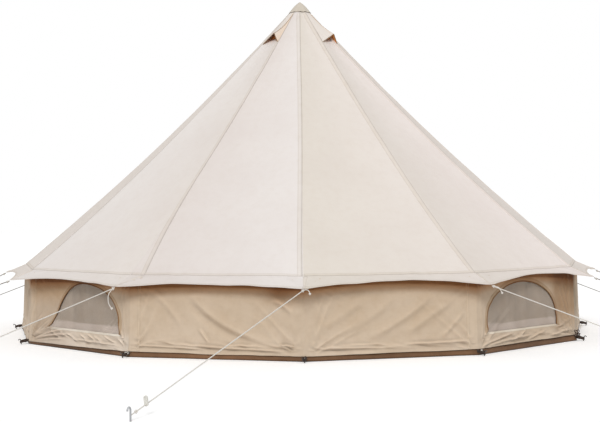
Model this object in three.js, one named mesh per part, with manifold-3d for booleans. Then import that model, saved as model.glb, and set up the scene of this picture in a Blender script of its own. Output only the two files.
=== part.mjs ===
// Bell tent: a twelve-sided canvas cone on one centre pole, with low walls, a
// door held up by an A-frame of poles, four net windows, four hooded vents at
// the peak, and guy ropes with runners and pegs.
// Millimetres, +Z up, origin on the ground under the centre pole.
// The door faces +Y; corner 0 faces -Y and the corners count towards +X.
import * as THREE from 'three';
import { mergeVertices } from 'three/addons/utils/BufferGeometryUtils.js';
import Module from 'manifold-3d';

const wasm = await Module();
wasm.setup();

// ---- Driving dimensions ----

const sides = 12;
const baseRadius = 2500; // groundsheet and foot of the wall, at the corners
const wallLean = 20; // how far the wall's head stands in from its foot
const flapReach = 172; // from the wall's head out to the tips of the eave flap
const roofApex = 2920; // where the roof's ridges would meet
const ridgeSag = 82; // how far a ridge hangs below its chord, halfway
const hemHeight = 580;
const tipHeight = 508;
const scallopDepth = 60; // how far the flap's edge bows in between two tips
const scallopLift = 25;
const topRadius = 60; // hole in the roof's peak, at the corners

const canvas = 8; // wall canvas as a soft solid
const roofCanvas = 10; // roof canvas, measured straight down
const gap = 0.4; // between pieces that touch
const sheetThickness = 6; // groundsheet

const capRadius = 92;
const capThickness = 9.6; // straight down
const capLift = 22; // of the cap's rim, off the roof's ridges

const hoodTopRadius = 102;
const hoodLipRadius = 385;
const hoodRise = 85; // how far the lip's peak stands off the roof
const hoodPeak = 0.72; // share of the lip, anticlockwise, that lies before its peak
const hoodThickness = 5;
const ventInnerRadius = 190;
const ventOuterRadius = 340;
const ventShare = 0.66; // share of the gore's width that the vent takes

const windowWidth = 900;
const windowHeight = 350;
const windowSide = 90; // straight part of each side, below the arch
const windowSill = 150;
const windowOffset = 75; // from the middle of the side, away from the flanks
const netThickness = 2;

const poleRadius = 19;
const poleWall = 2.5;
const spigotLength = 80;
const lowerPoleTop = 1500;
const fit = 0.5; // radial play of a spigot in its tube
const crownRadius = 110;
const crownRim = 12;
const crownSpigot = 60;
const crownNub = 50; // stands through the roof's hole, up to the cap
const footRadius = 45;
const footHeight = 20;
const footSpigot = 40;

const doorLean = 710; // how far the door's peak stands in from the wall's foot
const doorPeakHeight = 1855; // of the roof over the A-frame
const doorOverhang = new THREE.Vector3(0, 60, -40);
const doorHalfWidth = 620; // from the zip to a leg, along the foot of the wall
const doorHead = 80; // from the peak down to the top of the flaps
const doorGap = 1;
const headGap = 5; // over the flaps, whose slanted heads rise as they swing
const legRadius = 12.5;
const legWall = 1.5;
const legInset = 50; // from the door canvas to a leg's axis
const legTopDrop = 90; // from the crown's peak down to the leg's end
const crownRodRadius = 10.5;
const crownBend = 0.55; // share of legTopDrop that stays straight

const pullWidth = 14;
const pullLength = 42;
const pullThickness = 4;
const pullHeight = 160; // up the zip from the ground
const pullInset = 12; // from the flap's edge

const ropeRadius = 3.5;
const ropeEnd = 30; // height of a rope's loop on its peg
const pegRadius = 5;
const pegStraight = 55;
const pegHook = 30;
const runnerWidth = 22;
const runnerSpacing = 34; // between a runner's two holes
const runnerThickness = 9;
const runnerPlace = 150; // up the rope from the peg
const runnerPlay = 0.6;

// Each guy: the corner it leaves, and its peg in plan. The front three run out
// long; those of the flanks and the back are pegged closer in.
const guys = [
  [0, -870, -4790],
  [1, 2560, -4170],
  [2, 3600, -2300],
  [3, 3620, 0],
  [4, 3590, 2075],
  [5, 2090, 3600],
  [7, -2090, 3600],
  [8, -3590, 2075],
  [9, -3620, 0],
  [10, -3600, -2300],
  [11, -2430, -4250],
];
const doorPeg = new THREE.Vector2(0, 3650);

// ---- Worked out from them ----

const step = (2 * Math.PI) / sides;
const doorCorner = sides / 2;
const hemRadius = baseRadius - wallLean; // where the roof is sewn on
const eaveRadius = hemRadius + flapReach;
const doorPeak = new THREE.Vector3(0, baseRadius - doorLean, doorPeakHeight);
const slope = (roofApex - hemHeight) / hemRadius; // of a ridge's chord
const facet = Math.cos(step / 2); // a side's middle against its corners
const groundTop = sheetThickness + gap;
const windowSides = [1, doorCorner - 2, doorCorner + 1, sides - 2];
const up = new THREE.Vector3(0, 0, 1);

function material(color, roughness, metalness) {
  return new THREE.MeshStandardMaterial({ color, roughness, metalness });
}
const fabric = (color) => material(color, 0.92, 0);
const metal = (color) => material(color, 0.35, 0.9);
const plastic = (color) => material(color, 0.5, 0);
const roofColour = 0xeae2d9;
const wallColour = 0xcbb595;
const steelColour = 0xb4b6b8;
const blackColour = 0x2b2a28;

const tent = new THREE.Group();

function add(name, geometry, surface) {
  const mesh = new THREE.Mesh(geometry, surface);
  mesh.name = name;
  tent.add(mesh);
  return mesh;
}

// ---- Geometry helpers ----

function corner(k, radius, height) {
  const a = k * step;
  return new THREE.Vector3(radius * Math.sin(a), -radius * Math.cos(a), height);
}

// The outward direction in plan at corner k, or between corners for a fraction.
const outward = (k) => corner(k, 1, 0);

function along(u, cornerAt) {
  const k = Math.floor(u);
  return cornerAt(k).lerp(cornerAt(k + 1), u - k);
}

function solid(points, triangles) {
  const geometry = new THREE.BufferGeometry();
  const flat = points.flatMap((p) => p.toArray());
  geometry.setAttribute('position', new THREE.Float32BufferAttribute(flat, 3));
  geometry.setIndex(triangles);
  return geometry;
}

// A closed sheet of cols x rows cells between outer(i, j) and inner(i, j). Seen
// from the outer side, i runs anticlockwise and j runs away from the centre.
function sheet(cols, rows, outer, inner, closed = false) {
  const points = [];
  const width = closed ? cols : cols + 1;
  const half = width * (rows + 1);
  for (const face of [outer, inner]) {
    for (let j = 0; j <= rows; j++) {
      for (let i = 0; i < width; i++) points.push(face(i, j));
    }
  }
  const at = (i, j, side) => side * half + j * width + (closed ? i % cols : i);
  const triangles = [];
  const quad = (a, b, c, d) => triangles.push(a, b, c, a, c, d);
  for (let i = 0; i < cols; i++) {
    for (let j = 0; j < rows; j++) {
      quad(at(i, j, 0), at(i, j + 1, 0), at(i + 1, j + 1, 0), at(i + 1, j, 0));
      quad(at(i, j, 1), at(i + 1, j, 1), at(i + 1, j + 1, 1), at(i, j + 1, 1));
    }
    quad(at(i, rows, 0), at(i, rows, 1), at(i + 1, rows, 1), at(i + 1, rows, 0));
    quad(at(i, 0, 0), at(i + 1, 0, 0), at(i + 1, 0, 1), at(i, 0, 1));
  }
  for (let j = 0; j < rows && !closed; j++) {
    quad(at(0, j, 0), at(0, j, 1), at(0, j + 1, 1), at(0, j + 1, 0));
    quad(at(cols, j, 0), at(cols, j + 1, 0), at(cols, j + 1, 1), at(cols, j, 1));
  }
  return solid(points, triangles);
}

// A closed panel from its outer outline, anticlockwise from outside and filled
// as a fan from its first point, to the same outline on its inner face.
function panel(outer, inner) {
  const n = outer.length;
  const triangles = [];
  for (let i = 1; i < n - 1; i++) triangles.push(0, i, i + 1, n, n + i + 1, n + i);
  for (let i = 0; i < n; i++) {
    const next = (i + 1) % n;
    triangles.push(i, n + i, n + next, i, n + next, next);
  }
  return solid([...outer, ...inner], triangles);
}

function toManifold(geometry) {
  const bare = geometry.clone();
  bare.deleteAttribute('normal');
  bare.deleteAttribute('uv');
  const merged = mergeVertices(bare, 1e-3);
  return new wasm.Manifold(new wasm.Mesh({
    numProp: 3,
    vertProperties: new Float32Array(merged.attributes.position.array),
    triVerts: new Uint32Array(merged.index.array),
  }));
}

function fromManifold(body) {
  const mesh = body.getMesh();
  const geometry = new THREE.BufferGeometry();
  const flat = new Float32Array(mesh.vertProperties);
  geometry.setAttribute('position', new THREE.BufferAttribute(flat, 3));
  geometry.setIndex(new THREE.BufferAttribute(new Uint32Array(mesh.triVerts), 1));
  return geometry;
}

function cut(geometry, tools) {
  let body = toManifold(geometry);
  for (const tool of tools) body = body.subtract(toManifold(tool));
  return fromManifold(body);
}

// The same body on the other side of the door, at -X.
function mirrored(geometry) {
  const copy = geometry.index ? geometry.toNonIndexed() : geometry.clone();
  const { array } = copy.scale(-1, 1, 1).attributes.position;
  for (let i = 0; i < array.length; i += 9) {
    for (let n = 3; n < 6; n++) [array[i + n], array[i + n + 3]] = [array[i + n + 3], array[i + n]];
  }
  return copy;
}

function round(radius, sectors) {
  const shape = new THREE.Shape();
  for (let i = 0; i < sectors; i++) {
    const a = (2 * Math.PI * i) / sectors;
    if (i === 0) shape.moveTo(radius, 0);
    else shape.lineTo(radius * Math.cos(a), radius * Math.sin(a));
  }
  return shape;
}

// A body turned about Z. The profile, radius then height, runs anticlockwise.
function lathe(profile, sectors = 32) {
  const points = profile.map(([r, z]) => new THREE.Vector2(r, z));
  return new THREE.LatheGeometry(points, sectors).rotateX(Math.PI / 2);
}

function rod(path, radius, sectors, steps, bore = 0) {
  const shape = round(radius, sectors);
  if (bore > 0) shape.holes.push(round(bore, sectors));
  return new THREE.ExtrudeGeometry(shape, { steps, extrudePath: path, bevelEnabled: false });
}

// A frame with its origin at a point, its Z along normal and its Y near upward.
function frameAt(origin, normal, upward) {
  const z = normal.clone().normalize();
  const x = upward.clone().cross(z).normalize();
  const y = z.clone().cross(x);
  return new THREE.Matrix4().makeBasis(x, y, z).setPosition(origin);
}

// ---- Roof canvas ----

const roofColumns = 4; // to each side
const roofRows = 8; // from the peak to the hem

// How far a ridge hangs below its chord, at a share of its length.
const sagAt = (share) => 4 * ridgeSag * share * (1 - share);

// Height of a ridge at a radius, straight between the roof's rows.
function roofHeight(radius) {
  const share = (radius - topRadius) / (hemRadius - topRadius);
  if (share <= 0) return roofApex - slope * radius;
  const row = Math.floor(share * roofRows);
  const above = sagAt(row / roofRows);
  const below = sagAt((row + 1) / roofRows);
  return roofApex - slope * radius - THREE.MathUtils.lerp(above, below, share * roofRows - row);
}

const hemCorner = (k) => corner(k, hemRadius, hemHeight);
const tipCorner = (k) => corner(k, eaveRadius, tipHeight);
const doorShare = (u) => Math.max(0, 1 - Math.abs(u - doorCorner));
const doorSide = (u) => (u < doorCorner ? doorCorner - 1 : doorCorner + 1);

// The seam where the roof meets the wall; over the door it climbs to the peak.
function hemPoint(u) {
  if (doorShare(u) === 0) return along(u, hemCorner);
  return hemCorner(doorSide(u)).lerp(doorPeak, doorShare(u));
}

// The free edge of the eave flap.
function edgePoint(u) {
  if (doorShare(u) > 0) {
    const side = doorSide(u);
    const reach = tipCorner(side).sub(hemCorner(side));
    return hemPoint(u).add(reach.lerp(doorOverhang, doorShare(u)));
  }
  const side = Math.floor(u);
  const bow = 4 * (u - side) * (side + 1 - u);
  const point = along(u, tipCorner).addScaledVector(outward(side + 0.5), -scallopDepth * bow);
  point.z += scallopLift * bow;
  return point;
}

// The ridge over the door is held taut, so it doesn't sag.
function roofOuter(i, j) {
  const u = i / roofColumns;
  if (j > roofRows) return edgePoint(u);
  const share = j / roofRows;
  const top = along(u, (k) => corner(k, topRadius, roofHeight(topRadius)));
  const point = top.lerp(hemPoint(u), share);
  point.z -= sagAt(share) * (1 - doorShare(u));
  return point;
}

function ventCutter(side) {
  const a = (r, turn) => outward(side + 0.5 + turn).multiplyScalar(r);
  const turn = ventShare / 2;
  const plan = [
    a(ventInnerRadius, -turn),
    a(ventOuterRadius, -turn),
    a(ventOuterRadius, turn),
    a(ventInnerRadius, turn),
  ];
  const shape = new THREE.Shape(plan.map((p) => new THREE.Vector2(p.x, p.y)));
  const low = roofHeight(ventOuterRadius) - 10 * roofCanvas;
  const options = { depth: roofApex - low, bevelEnabled: false };
  return new THREE.ExtrudeGeometry(shape, options).translate(0, 0, low);
}

const roofShell = sheet(
  sides * roofColumns,
  roofRows + 1,
  roofOuter,
  (i, j) => roofOuter(i, j).addScaledVector(up, -roofCanvas),
  true,
);
add('roof_canvas', cut(roofShell, windowSides.map(ventCutter)), fabric(roofColour));

// ---- Peak: cap and vent hoods ----

const capFall = (roofApex - roofHeight(capRadius) - capLift) / capRadius;
const capInner = (r) => roofApex + gap - capFall * r;
const peakCap = lathe([
  [0, capInner(0)],
  [capRadius, capInner(capRadius)],
  [capRadius, capInner(capRadius) + capThickness],
  [0, capInner(0) + capThickness],
], 24);
add('peak_cap', peakCap, fabric(0xd8cdbd));

const hoodColumns = 8;
const hoodRows = 4;
const hoodMargin = 0.05; // of the gore's width, left of and right of the hood

// The lip runs up to its peak in a straight line, and down again more steeply.
const lipRise = (across) => Math.min(across / hoodPeak, (1 - across) / (1 - hoodPeak));

function hoodUnder(side, i, j) {
  const across = i / hoodColumns;
  const down = j / hoodRows;
  const radius = THREE.MathUtils.lerp(hoodTopRadius, hoodLipRadius, down);
  const u = side + THREE.MathUtils.lerp(hoodMargin, 1 - hoodMargin, across);
  const point = along(u, (k) => corner(k, radius, roofHeight(radius)));
  point.z += gap + hoodRise * lipRise(across) * down * down;
  return point;
}

windowSides.forEach((side, n) => {
  const hood = sheet(
    hoodColumns,
    hoodRows,
    (i, j) => hoodUnder(side, i, j).addScaledVector(up, hoodThickness),
    (i, j) => hoodUnder(side, i, j),
  );
  add(`vent_hood_${n + 1}`, hood, fabric(roofColour));
});

// ---- Wall canvas with its windows ----

const wallTop = hemHeight - roofCanvas - gap;
const wallInset = canvas / facet;
const wallRows = 2;

function wallOuter(u, height) {
  const share = (height - groundTop) / (wallTop - groundTop);
  const radius = THREE.MathUtils.lerp(baseRadius, hemRadius, share);
  return along(u, (k) => corner(k, radius, height));
}

function wallInner(u, height) {
  const share = (height - groundTop) / (wallTop - groundTop);
  const radius = THREE.MathUtils.lerp(baseRadius, hemRadius, share) - wallInset;
  return along(u, (k) => corner(k, radius, height));
}

// The arch of a window, its sill on the X axis; grow widens it on every side.
function arch(grow) {
  const half = windowWidth / 2 + grow;
  const shape = new THREE.Shape();
  shape.moveTo(-half, -grow);
  shape.lineTo(half, -grow);
  shape.lineTo(half, windowSide);
  shape.absellipse(0, windowSide, half, windowHeight - windowSide + grow, 0, Math.PI, false, 0);
  shape.closePath();
  return shape;
}

function windowFrame(side) {
  const middle = side + 0.5;
  const foot = wallOuter(middle, windowSill);
  const rise = wallOuter(middle, wallTop).sub(foot).normalize();
  const across = outward(middle).cross(up).negate().normalize();
  const normal = across.clone().cross(rise);
  const towards = Math.sign(across.y) * Math.sign(foot.y);
  const shift = across.clone().multiplyScalar(towards * windowOffset);
  return frameAt(foot.add(shift), normal, rise);
}

const archSegments = 10;

function archSolid(side, grow, depth, back) {
  const options = { depth, bevelEnabled: false, curveSegments: archSegments };
  return new THREE.ExtrudeGeometry(arch(grow), options)
    .translate(0, 0, back)
    .applyMatrix4(windowFrame(side));
}

const wallSpan = sides - 2; // the two sides at the door are made apart
const wallStart = doorCorner + 1;
const wallHeight = (j) => THREE.MathUtils.lerp(wallTop, groundTop, j / wallRows);
const wallRing = sheet(
  wallSpan,
  wallRows,
  (i, j) => wallOuter(wallStart + i, wallHeight(j)),
  (i, j) => wallInner(wallStart + i, wallHeight(j)),
);
const windowCutters = windowSides.map((side) => archSolid(side, 0, 6 * canvas, -4 * canvas));
add('wall_canvas', cut(wallRing, windowCutters), fabric(wallColour));

windowSides.forEach((side, n) => {
  const net = archSolid(side, -gap, netThickness, -(canvas + netThickness) / 2);
  add(`window_net_${n + 1}`, net, fabric(0x8f8578));
});

// ---- Groundsheet ----

const groundPlan = new THREE.Shape();
for (let k = 0; k < sides; k++) {
  const { x, y } = corner(k, baseRadius, 0);
  if (k === 0) groundPlan.moveTo(x, y);
  else groundPlan.lineTo(x, y);
}
const groundOptions = { depth: sheetThickness, bevelEnabled: false };
const ground = new THREE.ExtrudeGeometry(groundPlan, groundOptions);
add('groundsheet', ground, plastic(0x6f5642));

// ---- Centre pole ----

const poleBore = poleRadius - poleWall;
const upperRadius = poleBore - fit;
const upperBore = upperRadius - poleWall;
const roofUnder = (r) => roofHeight(r / facet) - roofCanvas - gap;
const crownFoot = roofUnder(crownRadius) - crownRim;
const footTop = groundTop + footHeight;

const tube = (outer, bore, low, high) => lathe([
  [outer, low],
  [outer, high],
  [bore, high],
  [bore, low],
  [outer, low],
], 24);

const poleFoot = lathe([
  [0, groundTop],
  [footRadius, groundTop],
  [footRadius, footTop],
  [poleBore - fit, footTop],
  [poleBore - fit, footTop + footSpigot],
  [0, footTop + footSpigot],
]);
add('pole_foot', poleFoot, plastic(blackColour));
const lowerPole = tube(poleRadius, poleBore, footTop + gap, lowerPoleTop);
add('centre_pole_lower', lowerPole, metal(steelColour));
const upperFoot = lowerPoleTop - spigotLength;
const upperPole = tube(upperRadius, upperBore, upperFoot, crownFoot - gap);
add('centre_pole_upper', upperPole, metal(steelColour));

const poleCrown = lathe([
  [0, crownFoot - crownSpigot],
  [upperBore - fit, crownFoot - crownSpigot],
  [upperBore - fit, crownFoot],
  [crownRadius, crownFoot],
  [crownRadius, roofUnder(crownRadius)],
  [crownNub, roofUnder(crownNub)],
  [crownNub, capInner(crownNub) - gap],
  [0, capInner(0) - gap],
]);
add('pole_crown', poleCrown, plastic(blackColour));

// ---- Door: side panels, flaps and zip pull ----

// Everything at the door is made for +X and mirrored for -X.
const doorFoot = corner(doorCorner, baseRadius, groundTop);
const wallFoot = corner(doorCorner - 1, baseRadius, groundTop);
const footDirection = wallFoot.clone().sub(doorFoot).normalize();
const legFoot = doorFoot.clone().addScaledVector(footDirection, doorHalfWidth);
const peakUnder = doorPeak.clone().addScaledVector(up, -roofCanvas - gap);
const wallHead = hemCorner(doorCorner - 1).addScaledVector(up, -roofCanvas - gap);
const zipDirection = peakUnder.clone().sub(doorFoot).normalize();
const legDirection = peakUnder.clone().sub(legFoot).normalize();
const headAtZip = peakUnder.clone().addScaledVector(zipDirection, -doorHead);
const headAtLeg = peakUnder.clone().addScaledVector(legDirection, -doorHead);
const headDirection = wallHead.clone().sub(peakUnder).normalize();

// The inner face lies one canvas in from the outer one, and level with it:
// square to it along the leg, mitred at the zip, and on the wall's own end.
const doorNormal = zipDirection.clone().cross(footDirection).normalize();
const legShift = legDirection.clone()
  .multiplyScalar((canvas * doorNormal.z) / legDirection.z)
  .addScaledVector(doorNormal, -canvas);
const inAtLeg = (p) => p.clone().add(legShift);
const inAtZip = (p) => p.clone().setY(p.y - canvas / doorNormal.y);
const inAtWall = (p) => p.clone().addScaledVector(outward(doorCorner - 1), -canvas);

const shifted = (p, direction, distance) => p.clone().addScaledVector(direction, distance);
const east = new THREE.Vector3(1, 0, 0);

const sideHead = shifted(headAtZip, east, doorGap / 2);
const sidePeak = shifted(peakUnder, headDirection, doorGap);
const sideWallHead = shifted(wallHead, headDirection, -doorGap / 2);
const sideWallFoot = shifted(wallFoot, footDirection, -doorGap / 2);
const sidePanel = panel(
  [headAtLeg, sideHead, sidePeak, sideWallHead, sideWallFoot, legFoot],
  [
    inAtLeg(headAtLeg),
    inAtZip(sideHead),
    inAtZip(sidePeak),
    inAtWall(sideWallHead),
    inAtWall(sideWallFoot),
    inAtLeg(legFoot),
  ],
);

const flapHead = shifted(shifted(headAtLeg, footDirection, -doorGap), up, -headGap);
const flapFoot = shifted(shifted(legFoot, footDirection, -doorGap), up, doorGap);
const flapZipFoot = shifted(shifted(doorFoot, east, doorGap / 2), up, doorGap);
const flapZipHead = shifted(shifted(headAtZip, east, doorGap / 2), up, -headGap);
const flapPanel = panel(
  [flapHead, flapFoot, flapZipFoot, flapZipHead],
  [inAtLeg(flapHead), inAtLeg(flapFoot), inAtZip(flapZipFoot), inAtZip(flapZipHead)],
);

add('door_side_right', sidePanel, fabric(wallColour));
add('door_side_left', mirrored(sidePanel), fabric(wallColour));
add('door_flap_right', flapPanel, fabric(wallColour));
add('door_flap_left', mirrored(flapPanel), fabric(wallColour));

// The zip's pull lies on the left flap, beside the zip.
const mirror = (p) => new THREE.Vector3(-p.x, p.y, p.z);
const pullFoot = mirror(flapZipFoot);
const zipLine = mirror(flapZipHead).sub(pullFoot).normalize();
const toHinge = mirror(flapFoot).sub(pullFoot).normalize();
const flapNormal = toHinge.clone().cross(zipLine).normalize();
const pullShape = new THREE.Shape();
const pullHalf = pullWidth / 2;
pullShape.moveTo(-pullHalf, 0);
pullShape.lineTo(pullHalf, 0);
pullShape.lineTo(pullHalf, pullLength - pullHalf);
pullShape.absarc(0, pullLength - pullHalf, pullHalf, 0, Math.PI, false);
pullShape.closePath();
const pullOrigin = pullFoot.clone()
  .addScaledVector(zipLine, pullHeight)
  .addScaledVector(toHinge, pullInset)
  .addScaledVector(flapNormal, gap);
const pullOptions = { depth: pullThickness, bevelEnabled: false, curveSegments: 6 };
const zipPull = add(
  'zip_pull',
  new THREE.ExtrudeGeometry(pullShape, pullOptions),
  metal(blackColour),
);
zipPull.applyMatrix4(frameAt(pullOrigin, flapNormal, zipLine));

// ---- A-frame ----

// The ridge over the door runs straight from the peak to the door's own peak.
const ridgeTop = new THREE.Vector3(0, topRadius, roofHeight(topRadius));
const ridgeHeight = (y) => {
  const share = (y - ridgeTop.y) / (doorPeak.y - ridgeTop.y);
  return THREE.MathUtils.lerp(ridgeTop.z, doorPeak.z, share);
};
const crownY = doorPeak.y - legInset;
const crownHeight = ridgeHeight(crownY) - roofCanvas - 2 * gap - crownRodRadius;
const crownPeak = new THREE.Vector3(0, crownY, crownHeight);
const legSeat = legFoot.clone().add(new THREE.Vector3(0, -legInset, 0));
const legLean = crownPeak.clone().sub(legSeat).normalize();
const legEnd = legSeat.clone().setZ(groundTop + legRadius * Math.hypot(legLean.x, legLean.y));
const legLine = crownPeak.clone().sub(legEnd).normalize();
const legTop = crownPeak.clone().addScaledVector(legLine, -legTopDrop);
const spigotEnd = legTop.clone().addScaledVector(legLine, -spigotLength);
const leg = rod(new THREE.LineCurve3(legEnd, legTop), legRadius, 12, 1, legRadius - legWall);

add('a_frame_leg_right', leg, metal(steelColour));
add('a_frame_leg_left', mirrored(leg), metal(steelColour));

const bendStart = legTop.clone().lerp(crownPeak, crownBend);
const crownCurve = new THREE.CurvePath();
crownCurve.add(new THREE.LineCurve3(mirror(spigotEnd), mirror(bendStart)));
crownCurve.add(new THREE.QuadraticBezierCurve3(mirror(bendStart), crownPeak, bendStart));
crownCurve.add(new THREE.LineCurve3(bendStart, spigotEnd));
add('a_frame_crown', rod(crownCurve, crownRodRadius, 12, 28), metal(steelColour));

// ---- Guy ropes, their runners and pegs ----

function pegSolid(direction) {
  const at = (out, height) => direction.clone().multiplyScalar(out).setZ(height);
  const top = pegStraight + 0.8 * pegHook;
  const path = new THREE.CurvePath();
  path.add(new THREE.LineCurve3(at(0, 0), at(0, pegStraight)));
  path.add(new THREE.CubicBezierCurve3(
    at(0, pegStraight),
    at(0, top),
    at(pegHook, top),
    at(pegHook, pegStraight),
  ));
  return rod(path, pegRadius, 8, 14);
}

const runnerHole = ropeRadius + runnerPlay;

function runnerSolid() {
  const half = runnerWidth / 2;
  const shape = new THREE.Shape();
  shape.absarc(0, 0, half, Math.PI, 2 * Math.PI, false);
  shape.absarc(0, runnerSpacing, half, 0, Math.PI, false);
  shape.closePath();
  for (const y of [0, runnerSpacing]) {
    const hole = new THREE.Path();
    hole.absarc(0, y, runnerHole, 0, 2 * Math.PI, true);
    shape.holes.push(hole);
  }
  const options = { depth: runnerThickness, bevelEnabled: false, curveSegments: 6 };
  return new THREE.ExtrudeGeometry(shape, options);
}

function addGuy(name, tip, pegPlace) {
  const away = new THREE.Vector3(pegPlace.x - tip.x, pegPlace.y - tip.y, 0).normalize();
  const peg = new THREE.Vector3(pegPlace.x, pegPlace.y, 0);
  const line = peg.clone().setZ(ropeEnd).sub(tip).normalize();
  const fall = Math.abs(line.z);
  const start = tip.clone().addScaledVector(line, (roofCanvas / 2) * fall + gap);
  const short = (pegRadius + ropeRadius * fall + gap) / Math.hypot(line.x, line.y);
  const end = peg.clone().setZ(ropeEnd).addScaledVector(line, -short);
  const rope = rod(new THREE.LineCurve3(start, end), ropeRadius, 8, 1);
  add(`guy_rope_${name}`, rope, fabric(0xefece4));
  const pin = add(`guy_peg_${name}`, pegSolid(away), metal(steelColour));
  pin.position.copy(peg);
  const runner = add(`guy_runner_${name}`, runnerSolid(), plastic(0xe9e7e0));
  const place = end.clone().addScaledVector(line, -runnerPlace);
  runner.applyMatrix4(frameAt(place, line.clone().negate(), up));
}

const tipMiddle = (u) => edgePoint(u).addScaledVector(up, -roofCanvas / 2);
guys.forEach(([k, x, y], n) => {
  addGuy(String(n + 1).padStart(2, '0'), tipMiddle(k), new THREE.Vector2(x, y));
});
addGuy('door', tipMiddle(doorCorner), doorPeg);

export default tent;
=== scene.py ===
# Bell tent: the visual model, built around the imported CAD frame. Metres, +Z up.
# The door faces +Y; corner 0 faces -Y and the corners count towards +X.
import math

import bpy
import numpy as np
from mathutils import Matrix, Vector


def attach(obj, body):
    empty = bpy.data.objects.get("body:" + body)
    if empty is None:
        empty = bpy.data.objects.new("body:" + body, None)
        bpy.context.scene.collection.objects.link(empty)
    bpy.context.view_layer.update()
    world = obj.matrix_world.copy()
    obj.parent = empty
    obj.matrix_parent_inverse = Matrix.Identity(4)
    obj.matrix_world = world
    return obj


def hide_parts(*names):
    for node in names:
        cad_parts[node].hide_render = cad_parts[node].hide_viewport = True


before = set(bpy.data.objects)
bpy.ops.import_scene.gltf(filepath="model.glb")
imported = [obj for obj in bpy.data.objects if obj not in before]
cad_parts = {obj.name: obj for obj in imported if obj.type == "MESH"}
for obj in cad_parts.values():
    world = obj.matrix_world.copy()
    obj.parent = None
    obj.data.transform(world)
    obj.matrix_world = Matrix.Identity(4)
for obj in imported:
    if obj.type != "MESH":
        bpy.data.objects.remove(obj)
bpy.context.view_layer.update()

scene = bpy.context.scene
PI = math.pi
UP = np.array([0, 0, 1])

# ---- Driving values, those of the CAD model ----

SIDES = 12
STEP = 2 * PI / SIDES
BASE, HEM, EAVE = 2.5, 2.48, 2.652  # radii of the corners: foot, hem, tips of the flap
APEX, TOP = 2.92, 0.06  # height of the peak, and the radius where the gores begin
HEM_Z, TIP_Z = 0.58, 0.508
SAG = 0.082  # of a gore, halfway from the peak to the hem
BOW, LIFT = 0.06, 0.025  # of the flap's edge between two tips: inwards, upwards
SLOPE = (APEX - HEM_Z) / HEM
DOOR = 6  # the corner at the middle of the door
PEAK = np.array([0.0, 1.79, 1.855])  # of the door
OVERHANG = np.array([0.0, 0.06, -0.04])  # of the flap beyond that peak
ROPE, ROPE_END, PEG = 0.0035, 0.03, 0.005  # radius of a rope, height of its end, radius of a peg
ROOF_T, CLEAR = 0.01, 0.0004  # thickness of the CAD roof, gap between solids that touch
GUYS = {  # corner, and the peg's place
    "01": (0, -0.87, -4.79),
    "02": (1, 2.56, -4.17),
    "03": (2, 3.6, -2.3),
    "04": (3, 3.62, 0.0),
    "05": (4, 3.59, 2.075),
    "06": (5, 2.09, 3.6),
    "07": (7, -2.09, 3.6),
    "08": (8, -3.59, 2.075),
    "09": (9, -3.62, 0.0),
    "10": (10, -3.6, -2.3),
    "11": (11, -2.43, -4.25),
    "door": (6, 0.0, 3.65),
}

# ---- Camera ----


def add_object(name, data):
    obj = bpy.data.objects.new(name, data)
    scene.collection.objects.link(obj)
    return obj


def make_camera(place, yaw, pitch, roll, lens):
    cy, sy, cp, sp, cr, sr = (f(math.radians(a)) for a in (yaw, pitch, roll) for f in (math.cos, math.sin))
    right0, ahead0, up0 = Vector((cy, sy, 0)), Vector((-sy, cy, 0)), Vector((0, 0, 1))
    ahead = ahead0 * cp + up0 * sp
    up1 = up0 * cp - ahead0 * sp
    right, up = right0 * cr + up1 * sr, up1 * cr - right0 * sr
    data = bpy.data.cameras.new("camera")
    data.sensor_width, data.lens = 36.0, lens
    data.clip_end = 300.0
    scene.camera = add_object("camera", data)
    turned = Matrix((right, up, -ahead)).transposed().to_4x4()
    scene.camera.matrix_world = Matrix.Translation(place) @ turned


make_camera((-0.072, -10.485, 1.0), -0.35, 0.25, -0.29, 69.87)

# ---- Numbers ----


def unit(x):
    return np.clip(x, 0, 1)


def smooth(x):
    return x * x * (3 - 2 * x)


def bell(x, width):
    return np.exp(-((x / width) ** 2))


def lerp(a, b, t):
    return a + (b - a) * np.asarray(t)[..., None]


def shares(count):
    return np.linspace(0, 1, count)


def lattice(a, b):
    return np.meshgrid(a, b, indexing="ij")


def joined(*runs):
    return np.concatenate(runs)


def stacked(*coordinates):
    return np.stack(np.broadcast_arrays(*coordinates), -1)


def noise(x, y, seed):
    """Smooth noise from -1 to 1 on a unit lattice."""
    xi, yi = np.floor(x), np.floor(y)
    fx, fy = smooth(x - xi), smooth(y - yi)

    def at(a, b):
        value = np.sin(a * 127.1 + b * 311.7 + seed * 74.7) * 43758.5453
        return 2 * (value - np.floor(value)) - 1

    top = at(xi, yi) * (1 - fx) + at(xi + 1, yi) * fx
    low = at(xi, yi + 1) * (1 - fx) + at(xi + 1, yi + 1) * fx
    return top * (1 - fy) + low * fy


def clouds(x, y, seed):
    """Four octaves of noise."""
    return sum(noise(x * 2**k, y * 2**k, seed + k) / 2**k for k in range(4)) / 2


def fold(x, y, ends, width, height, bend):
    """A ridge of cloth along the line between two ends, fading out at both."""
    x0, y0, x1, y1 = ends
    dx, dy = x1 - x0, y1 - y0
    length = math.hypot(dx, dy)
    run = ((x - x0) * dx + (y - y0) * dy) / length**2
    off = (-(x - x0) * dy + (y - y0) * dx) / length
    off = off - bend * 4 * run * (1 - run)
    return height * smooth(unit(np.minimum(run, 1 - run) * 3.5)) * bell(off, width)


# ---- Shapes shared by all pieces ----


def corner(k, r, z):
    a = k * STEP
    return stacked(r * np.sin(a), -r * np.cos(a), z)


def along(u, r, z):
    """A point of the twelve-sided ring: u counts the corners, with shares of a side between them."""
    k = np.floor(u)
    return lerp(corner(k, r, z), corner(k + 1, r, z), u - k)


def all_round(places):
    """The same places on every side, from 0 to 1 of each, as values of u."""
    return np.append(joined(*(k + places[:-1] for k in range(SIDES))), SIDES)


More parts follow.
